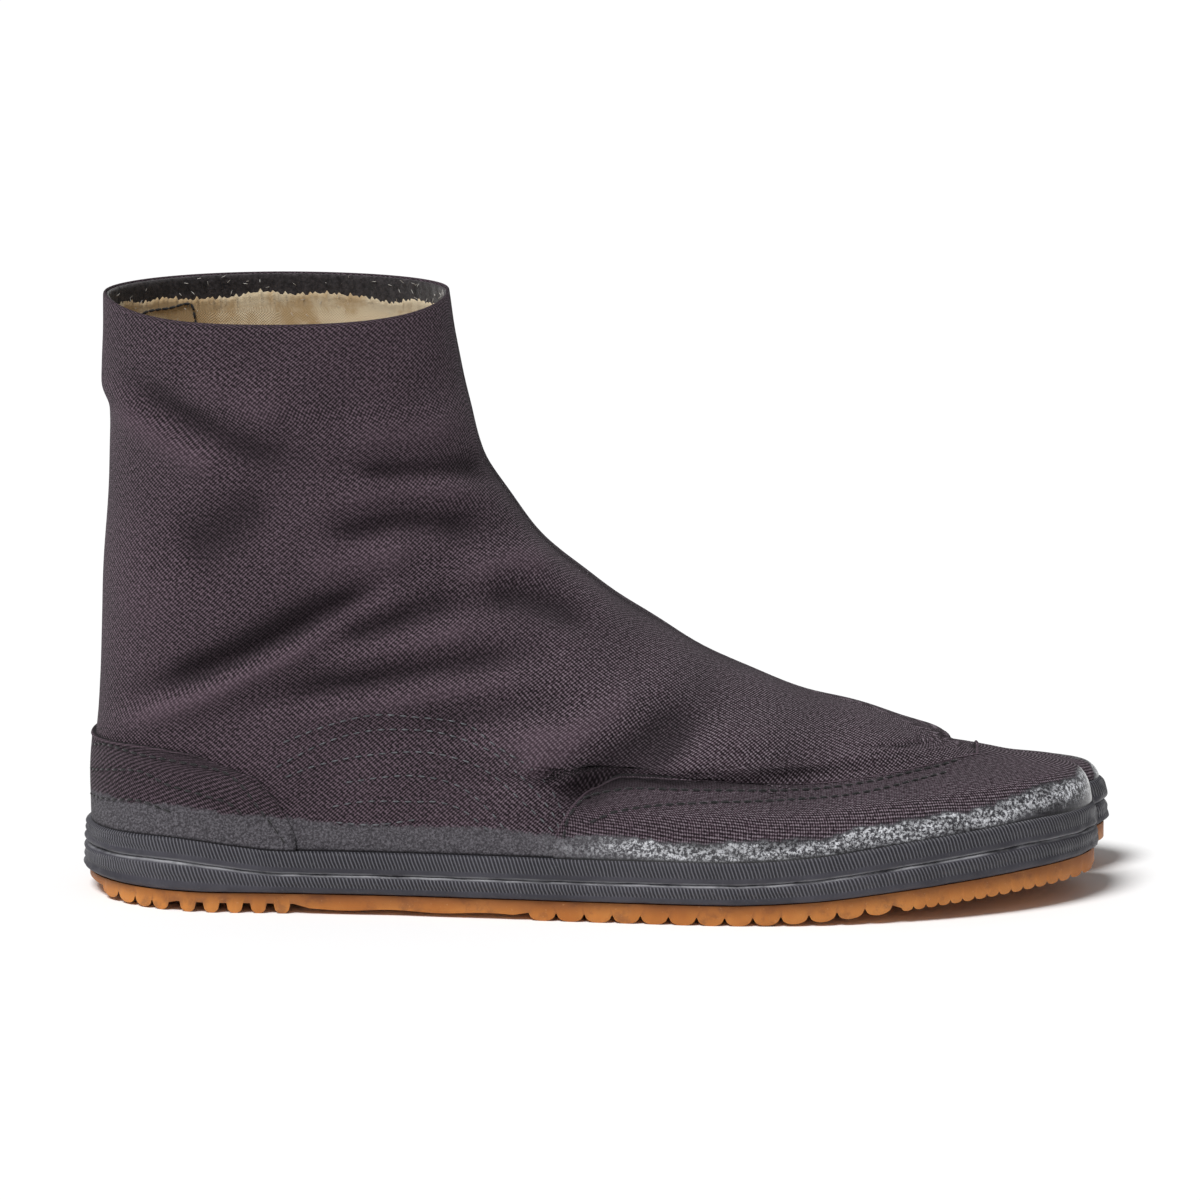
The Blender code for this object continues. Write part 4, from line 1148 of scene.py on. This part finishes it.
def overlay_piece(name, columns, inside, look, count):
    """A sheet sewn over the cloth, from under the foxing up to its folded edge."""
    lows = {c: foxing_level(c, OVERLAY_HIDDEN) for c in columns}
    tops = {c: level_where(c, inside) for c in columns}
    columns = [c for c in columns if tops[c] > foxing_level(c, 0)]

    def level(c, share):
        return lows[c] + (tops[c] - lows[c]) * share

    folds, rings = [], []
    for share in np.linspace(0, 1, count):
        folds.append([float(np.interp(level(c, share), range(LOOPS), DEPTH[:, c])) for c in columns])
        rings.append([on_column(c, level(c, share), OVERLAY_FACE * MM) for c in columns])
    for up, proud, _ in OVERLAY_FOLD:
        rings.append([lifted(c, tops[c], up * MM, proud * MM) for c in columns])
    for share in OVERLAY_BACK_SHARES:
        rings.append([on_column(c, level(c, share), OVERLAY_BACK * MM) for c in columns])
    rings = np.array(rings)
    many, last = len(columns), len(rings) - 1
    faces = [tuple(f) for f in band_faces(len(rings), many, closed=False)]
    faces += [(last * many + c, last * many + c + 1, c + 1, c) for c in range(many - 1)]
    faces.append(tuple(r * many for r in range(len(rings))))
    faces.append(tuple(r * many + many - 1 for r in range(last, -1, -1)))
    piece = mesh_piece(name, rings, faces, name.replace("_twill", ""), look)
    u = np.concatenate([[0], np.cumsum(np.linalg.norm(np.diff(rings[0], axis=0), axis=1))])
    rises = np.cumsum(np.linalg.norm(np.diff(rings, axis=0), axis=2), axis=0)
    v = np.concatenate([np.zeros((1, many)), rises])
    corner_points = np.empty(len(piece.data.loops), np.int32)
    piece.data.loops.foreach_get("vertex_index", corner_points)
    sign = 1.0 if name.startswith("toe") else -1.0
    flat = np.stack([np.broadcast_to(u, v.shape).ravel() * sign, v.ravel()], axis=1)
    set_uv(piece, "weave", flat[corner_points])
    mark_cloth(piece, rings, columns)
    # Marks for the painted light on the folded edge and the painted shadow under it.
    edge = [0.0] * count + [mark for _, _, mark in OVERLAY_FOLD] + [0.0] * len(OVERLAY_BACK_SHARES)
    set_point_values(piece, "edge", np.repeat(edge, many))
    set_point_values(piece, "fold", np.array(folds + [folds[-1]] * (len(rings) - len(folds))) / MM)


def lifted(column, level, up, proud):
    """A point a true distance up the cloth from a loop number."""
    k = int(np.clip(math.floor(level), 0, LOOPS - 2))
    spacing = max(float(np.linalg.norm(CLOTH[k + 1, column] - CLOTH[k, column])), 0.1 * MM)
    return on_column(column, min(level + up / spacing, LOOPS - 1.0), proud)


def make_overlays():
    """The heel counter and the toe guard."""
    counter = within(COUNTER_EDGE, 0, COUNTER_REACH, COUNTER_HEIGHT, COUNTER_EDGE_LEAN)
    ridge_run = GUARD_RIDGE_X - GUARD_START_X
    guard = within(GUARD_EDGE, GUARD_START_X, ridge_run, GUARD_SHOULDER_HEIGHT, GUARD_EDGE_LEAN)

    def in_counter(p):
        return counter(p) & (p[:, 0] < COUNTER_REACH)

    def in_guard(p):
        return (guard(p) | (p[:, 0] > GUARD_RIDGE_X)) & (p[:, 0] > GUARD_START_X)

    from_nose = list(range(HALF, COLUMNS)) + list(range(HALF))
    behind = [c for c in from_nose if CLOTH[0, c, 0] < COUNTER_REACH]
    overlay_piece("heel_counter_twill", behind, in_counter, COUNTER_TWILL, COUNTER_RINGS)
    ahead = [c for c in range(COLUMNS) if CLOTH[0, c, 0] > GUARD_START_X]
    overlay_piece("toe_guard_twill", ahead, in_guard, GUARD_TWILL, GUARD_RINGS)


# sole


# How far the heel's bevel runs. At each end of a lug lies a flat share of its pitch, wider for lugs
# deeper than DEEP_LUG. Its points end at LUG_END of the pitch, and a smaller LUG_POWER makes its
# round squarer.
BEVEL_RUN = 0.10 * LENGTH
DEEP_LUG_GAP, FINE_LUG_GAP, DEEP_LUG = 0.13, 0.02, 2.2 * MM
LUG_END, LUG_POINTS, LUG_POWER = 0.97, 16, 0.85
# How far the sole's blank runs past both ends, and the wear at its edges.
SOLE_OVERRUN = 0.02 * LENGTH
WORN_EDGE = 0.35 * MM


def heel_lift(x):
    """How far the bevel lifts the heel off the floor."""
    return HEEL_BEVEL * np.clip((BEVEL_RUN - x) / BEVEL_RUN, 0, 1) ** 2


def lug_profile():
    """The underside of the sole from heel to toe: rounded lugs on a plain web."""
    points = []
    for group in LUGS:
        first, last, count = group["first"] * LENGTH, group["last"] * LENGTH, group["count"]
        pitch = (last - first) / count
        gap = DEEP_LUG_GAP if group["depth"] > DEEP_LUG else FINE_LUG_GAP
        for k in range(count):
            start = first + pitch * k
            for share in np.linspace(0, LUG_END, LUG_POINTS):
                across = 2 * min(max((share - gap) / (LUG_END - 2 * gap), 0.0), 1.0) - 1
                drop = math.sqrt(1 - across**2) ** LUG_POWER
                points.append((start + pitch * share, group["depth"] * drop, group["depth"]))
    return [(x, float(spring(x)) + float(heel_lift(x)) + depth - drop) for x, drop, depth in points]


def extruded(name, outline, low, high, upright):
    """A solid with an outline for its ends: in plan when upright, in the side view otherwise."""
    count = len(outline)
    if upright:
        points = [(x, y, low) for x, y in outline] + [(x, y, high) for x, y in outline]
    else:
        points = [(x, low, z) for x, z in outline] + [(x, high, z) for x, z in outline]
    faces = [tuple(range(count)), tuple(range(2 * count - 1, count - 1, -1))]
    faces += [(k, k + count, (k + 1) % count + count, (k + 1) % count) for k in range(count)]
    mesh = bpy.data.meshes.new(name)
    mesh.from_pydata([tuple(p) for p in np.array(points) + SHIFT], [], faces)
    shape = bmesh.new()
    shape.from_mesh(mesh)
    bmesh.ops.recalc_face_normals(shape, faces=shape.faces)
    shape.to_mesh(mesh)
    shape.free()
    return placed(name, mesh)


def settled(made, name):
    """A plain mesh of an object with its modifiers applied."""
    graph = bpy.context.evaluated_depsgraph_get()
    mesh = bpy.data.meshes.new_from_object(made.evaluated_get(graph))
    mesh.name = name
    bpy.data.objects.remove(made)
    return placed(name, mesh)


def make_sole():
    """The gum sole, cut from a side profile by the outline of the foxing, with worn edges."""
    nose = LENGTH * 1.02
    top = [(x, float(sole_top(x))) for x in np.linspace(nose, 0.60 * LENGTH, 60)]
    top.append((-SOLE_OVERRUN, SOLE_TOP_HEIGHT))
    lugs = lug_profile()
    arch_start, arch_end = LUGS[1]["last"] * LENGTH, LUGS[2]["first"] * LENGTH
    heel = [p for p in lugs if p[0] < arch_start + MM]
    fore = [p for p in lugs if p[0] > arch_end - MM]
    wave = 4 * MM
    places = np.linspace(arch_start + wave, arch_end - wave, 30)
    arch = [(x, ARCH_LIFT + 0.25 * MM * math.sin(x / wave)) for x in places]
    start = (-SOLE_OVERRUN, float(heel_lift(0)) + HEEL_LUG_DEPTH)
    end = (nose, float(spring(LENGTH)) + TOE_LUG_DEPTH)
    reach = OUTER_HALF_WIDTH * 1.5
    sole = extruded("gum_sole", [start, *heel, *arch, *fore, end, *top], -reach, reach, False)
    flat = NORMALS[0, :, :2] / np.linalg.norm(NORMALS[0, :, :2], axis=1, keepdims=True)
    outline = GRID[0, :, :2] + flat * (CLEARANCE + FOXING_WALL - SOLE_EDGE_INSET + WORN_EDGE)
    cutter = extruded("sole outline", outline, -10 * MM, 30 * MM, True)
    cut = sole.modifiers.new("outline", "BOOLEAN")
    cut.operation, cut.solver, cut.object = "INTERSECT", "EXACT", cutter
    sole = settled(sole, "gum_sole")
    bpy.data.objects.remove(cutter)
    bevel = sole.modifiers.new("worn edges", "BEVEL")
    bevel.width, bevel.segments = WORN_EDGE, 2
    bevel.limit_method, bevel.angle_limit = "ANGLE", math.radians(50)
    sole = settled(sole, "gum_sole")
    sole.data.materials.clear()
    sole.data.materials.append(GUM)
    sole.data.shade_smooth()
    sole.data.set_sharp_from_angle(angle=math.radians(40))
    points = np.empty(len(sole.data.vertices) * 3)
    sole.data.vertices.foreach_get("co", points)
    points = points.reshape(-1, 3) - SHIFT
    under = (points[:, 2] - spring(points[:, 0]) - heel_lift(points[:, 0])) / MM
    set_point_values(sole, "recess", smooth((under - 0.8) / 2.4))
    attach(sole, "root")
    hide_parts("outsole")


# stitches and lint


# Every second point of the cloth, for finding places on it from the side view.
COARSE = CLOTH[::2, ::2]
CLOTH_SURFACE = BVHTree.FromPolygons(
    [tuple(p) for p in COARSE.reshape(-1, 3)],
    [tuple(map(int, f)) for f in band_faces(len(COARSE), COLUMNS // 2)],
)


def onto_side(x, z, side=-1):
    """The cloth's point and normal at a place in the side view."""
    hit, normal, _, _ = CLOTH_SURFACE.ray_cast(Vector((x, side * 0.2, z)), Vector((0, -side, 0)))
    if hit is None:
        return None
    if normal.y * side < 0:
        normal = -normal
    return np.array(hit), np.array(normal)


def seam_run(path, side, pitch, proud):
    """Places a pitch apart along a path of the side view: points, directions and normals."""
    line = curve(np.array(path) * [LENGTH, COLLAR_HEIGHT], 40)
    found = [f for f in (onto_side(x, z, side) for x, z in line) if f]
    if len(found) < 2:
        return []
    points = np.array([f[0] for f in found])
    normals = np.array([f[1] for f in found])
    run = np.concatenate([[0], np.cumsum(np.linalg.norm(np.diff(points, axis=0), axis=1))])
    out = []
    for s in np.arange(pitch / 2, run[-1], pitch):
        k = min(int(np.searchsorted(run, s)), len(run) - 1)
        t = (s - run[k - 1]) / max(run[k] - run[k - 1], 1e-9)
        point = points[k - 1] * (1 - t) + points[k] * t
        ahead = points[k] - points[k - 1]
        out.append((point + normals[k] * proud, ahead / np.linalg.norm(ahead), normals[k]))
    return out


def stitch_tree():
    """Lays one stitch at each point, along its direction."""
    tree = bpy.data.node_groups.new("stitches", "GeometryNodeTree")
    face = tree.interface
    face.new_socket("Geometry", in_out="INPUT", socket_type="NodeSocketGeometry")
    for title in ("Length", "Thickness"):
        face.new_socket(title, in_out="INPUT", socket_type="NodeSocketFloat")
    face.new_socket("Thread", in_out="INPUT", socket_type="NodeSocketMaterial")
    face.new_socket("Geometry", in_out="OUTPUT", socket_type="NodeSocketGeometry")
    new, link = tree.nodes.new, tree.links.new
    start, end = new("NodeGroupInput"), new("NodeGroupOutput")
    stitch = new("GeometryNodeMeshUVSphere")
    stitch.inputs["Segments"].default_value = 6
    stitch.inputs["Rings"].default_value = 5
    stitch.inputs["Radius"].default_value = 0.5
    ahead, out = new("GeometryNodeInputNamedAttribute"), new("GeometryNodeInputNamedAttribute")
    for node, title in ((ahead, "ahead"), (out, "out")):
        node.data_type = "FLOAT_VECTOR"
        node.inputs["Name"].default_value = title
    first, second = new("FunctionNodeAlignRotationToVector"), new("FunctionNodeAlignRotationToVector")
    first.axis, second.axis, second.pivot_axis = "X", "Z", "X"
    link(ahead.outputs["Attribute"], first.inputs["Vector"])
    link(first.outputs[0], second.inputs["Rotation"])
    link(out.outputs["Attribute"], second.inputs["Vector"])
    size = new("ShaderNodeCombineXYZ")
    link(start.outputs["Length"], size.inputs[0])
    for k in (1, 2):
        link(start.outputs["Thickness"], size.inputs[k])
    placed = new("GeometryNodeInstanceOnPoints")
    link(start.outputs["Geometry"], placed.inputs["Points"])
    link(stitch.outputs["Mesh"], placed.inputs["Instance"])
    link(second.outputs[0], placed.inputs["Rotation"])
    link(size.outputs[0], placed.inputs["Scale"])
    real, dyed = new("GeometryNodeRealizeInstances"), new("GeometryNodeSetMaterial")
    link(placed.outputs[0], real.inputs[0])
    link(real.outputs[0], dyed.inputs["Geometry"])
    link(start.outputs["Thread"], dyed.inputs["Material"])
    link(dyed.outputs[0], end.inputs[0])
    return tree


STITCHES = stitch_tree()


def sewn(name, runs, length, thickness, thread_look):
    """A row of stitches as one plain mesh. Each run is a list of point, direction and normal."""
    spots = [spot for run in runs for spot in run]
    mesh = bpy.data.meshes.new(name)
    mesh.from_pydata([tuple(p + SHIFT) for p, _, _ in spots], [], [])
    for title, k in (("ahead", 1), ("out", 2)):
        layer = mesh.attributes.new(title, "FLOAT_VECTOR", "POINT")
        layer.data.foreach_set("vector", np.array([spot[k] for spot in spots], np.float32).ravel())
    made = placed(name, mesh)
    laid = made.modifiers.new("stitches", "NODES")
    laid.node_group = STITCHES
    items = STITCHES.interface.items_tree
    inputs = {item.name: item.identifier for item in items if item.in_out == "INPUT"}
    laid[inputs["Length"]] = length
    laid[inputs["Thickness"]] = thickness
    laid[inputs["Thread"]] = thread_look
    piece = settled(made, name)
    piece.data.shade_smooth()
    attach(piece, "root")


# Rows of quilting and seams by their places on the side of the shoe, as for the folds.
QUILTING = [
    [
        (0.194, 0.284), (0.240, 0.316), (0.286, 0.335), (0.336, 0.329), (0.374, 0.318), (0.400, 0.290),
        (0.442, 0.244), (0.469, 0.169),
    ],
    [
        (0.187, 0.242), (0.234, 0.284), (0.276, 0.306), (0.316, 0.310), (0.351, 0.304), (0.395, 0.281),
        (0.424, 0.241), (0.453, 0.184), (0.464, 0.144),
    ],
    [
        (0.196, 0.226), (0.229, 0.248), (0.276, 0.266), (0.326, 0.274), (0.363, 0.265), (0.393, 0.245),
        (0.429, 0.193), (0.455, 0.150),
    ],
    [
        (0.254, 0.220), (0.297, 0.232), (0.326, 0.234), (0.355, 0.225), (0.376, 0.208), (0.397, 0.176),
        (0.411, 0.145),
    ],
    [(0.241, 0.179), (0.275, 0.190), (0.322, 0.191), (0.347, 0.191), (0.370, 0.178), (0.393, 0.148)],
    [(0.244, 0.154), (0.283, 0.151), (0.323, 0.161)],
]
COUNTER_ROWS = [
    [
        (0.011, 0.247), (0.027, 0.260), (0.059, 0.255), (0.094, 0.250), (0.136, 0.238), (0.155, 0.216),
        (0.171, 0.180), (0.187, 0.144), (0.200, 0.112),
    ],
    [
        (0.009, 0.206), (0.028, 0.219), (0.059, 0.227), (0.085, 0.210), (0.118, 0.197), (0.144, 0.184),
        (0.158, 0.162),
    ],
    [(0.009, 0.163), (0.034, 0.172), (0.058, 0.178), (0.085, 0.167)],
]
GUARD_ROWS = [
    [
        (0.466, 0.138), (0.471, 0.172), (0.482, 0.193), (0.497, 0.205), (0.536, 0.216), (0.587, 0.215),
        (0.646, 0.211), (0.697, 0.208), (0.745, 0.213), (0.792, 0.222), (0.828, 0.228), (0.845, 0.232),
    ],
    [
        (0.490, 0.165), (0.515, 0.182), (0.551, 0.192), (0.607, 0.196), (0.661, 0.195), (0.719, 0.197),
        (0.763, 0.204), (0.806, 0.213), (0.838, 0.220),
    ],
]
PATCH = [(0.036, 0.937), (0.055, 0.951), (0.078, 0.953), (0.098, 0.957), (0.103, 0.935), (0.106, 0.890)]


# Each seam's rows and sides, then in millimetres the pitch of its stitches, how far they stand from
# the cloth, their length and their thickness, then their thread and their slot.
BOTH_SIDES = (-1, 1)
SEAMS = {
    "quilting_stitches": (QUILTING, BOTH_SIDES, 3.2, 0.14, 2.1, 0.46, GREY_THREAD, "canvas"),
    "counter_stitches": (COUNTER_ROWS, BOTH_SIDES, 2.9, 1.08, 2.3, 0.66, DARK_THREAD, "canvas"),
    "guard_stitches": (GUARD_ROWS, BOTH_SIDES, 2.9, 1.08, 2.4, 0.74, DARK_THREAD, "canvas"),
    "patch_stitches": ([PATCH], (1,), 2.2, -1.98, 2.4, 0.80, DARK_THREAD, "cotton_lining"),
}


def make_stitches():
    """The quilting and the seams of the counter, the guard and the patch inside the mouth."""
    for name, (paths, sides, pitch, proud, length, thickness, look, slot_name) in SEAMS.items():
        runs = [seam_run(path, side, pitch * MM, proud * MM) for path in paths for side in sides]
        sewn(name, runs, length * MM, thickness * MM, look)


def make_lint():
    """White lint and loose threads round the mouth of the shoe."""
    chance = np.random.default_rng(7)
    share, loops, depth, spread = 0.55, 6.5, 1.7, 0.5
    spots = []
    for c in range(COLUMNS):
        if chance.random() < share:
            level = LOOPS - 1 - chance.random() * loops
            point = on_column(c, level, -(depth + spread * chance.random()) * MM)
            ahead = chance.normal(size=3)
            spots.append((point, ahead / np.linalg.norm(ahead), -CLOTH_NORMALS[LOOPS - 1, c]))
    sewn("collar_lint", [spots], 1.5 * MM, 0.13 * MM, LINT)


# the picture


# The camera is far back with a long lens. Its frame is this wide where the shoe stands, in metres.
CAMERA_TARGET = (0.0002, 0.0013, 0.0770)
CAMERA_DISTANCE = 2.5
CAMERA_DEGREES = 11.5
FRAME_WIDTH = 0.3168
SENSOR_WIDTH = 36
# Light from a high window on the left, in front of the shoe, over an even white room.
WINDOW_PLACE = (-0.9, -1.0, 2.3)
WINDOW_STRENGTH = 3.2
WINDOW_DEGREES = 24
ROOM_STRENGTH = 0.24
FLOOR_REACH = 6.0


def look_at(thing, target):
    """Turns a camera or a lamp to a point."""
    direction = Vector(target) - thing.location
    thing.rotation_euler = direction.to_track_quat("-Z", "Y").to_euler()


def make_camera():
    """A little above the shoe, looking at its outer side."""
    lens = bpy.data.cameras.new("camera")
    camera = placed("camera", lens)
    target, rise = Vector(CAMERA_TARGET), math.radians(CAMERA_DEGREES)
    camera.location = target + CAMERA_DISTANCE * Vector((0, -math.cos(rise), math.sin(rise)))
    look_at(camera, target)
    lens.sensor_width = SENSOR_WIDTH
    lens.lens = SENSOR_WIDTH * CAMERA_DISTANCE / FRAME_WIDTH
    lens.clip_end = 20
    bpy.context.scene.camera = camera
    bpy.context.scene.view_settings.view_transform = "Standard"


def make_studio():
    """The room's light, the window and the white floor."""
    world = bpy.data.worlds.new("studio")
    bpy.context.scene.world = world
    world.use_nodes = True
    room = world.node_tree.nodes["Background"]
    room.inputs["Color"].default_value = (1, 1, 1, 1)
    room.inputs["Strength"].default_value = ROOM_STRENGTH
    sun = bpy.data.lights.new("window", "SUN")
    sun.energy, sun.angle = WINDOW_STRENGTH, math.radians(WINDOW_DEGREES)
    window = placed("window", sun)
    window.location = WINDOW_PLACE
    look_at(window, (0, 0, 0))
    floor_mesh = bpy.data.meshes.new("floor")
    signs = ((-1, -1), (1, -1), (1, 1), (-1, 1))
    floor_mesh.from_pydata([(x * FLOOR_REACH, y * FLOOR_REACH, 0) for x, y in signs], [], [(0, 1, 2, 3)])
    floor = placed("floor", floor_mesh)
    paper = Finish("white paper", Roughness=0.9, Specular_IOR_Level=0.1)
    shade = paper.noise(paper.place(), 3)
    paper.done(Base_Color=paper.blend(shade, (0.93, 0.93, 0.93), (0.95, 0.95, 0.95)))
    floor_mesh.materials.append(paper.look)


make_canvas_upper()
make_lining()
make_tape()
make_foxing()
make_overlays()
make_sole()
make_stitches()
make_lint()
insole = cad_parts["insole"]
insole.data.materials.clear()
insole.data.materials.append(INSOLE_COTTON)
make_camera()
make_studio()
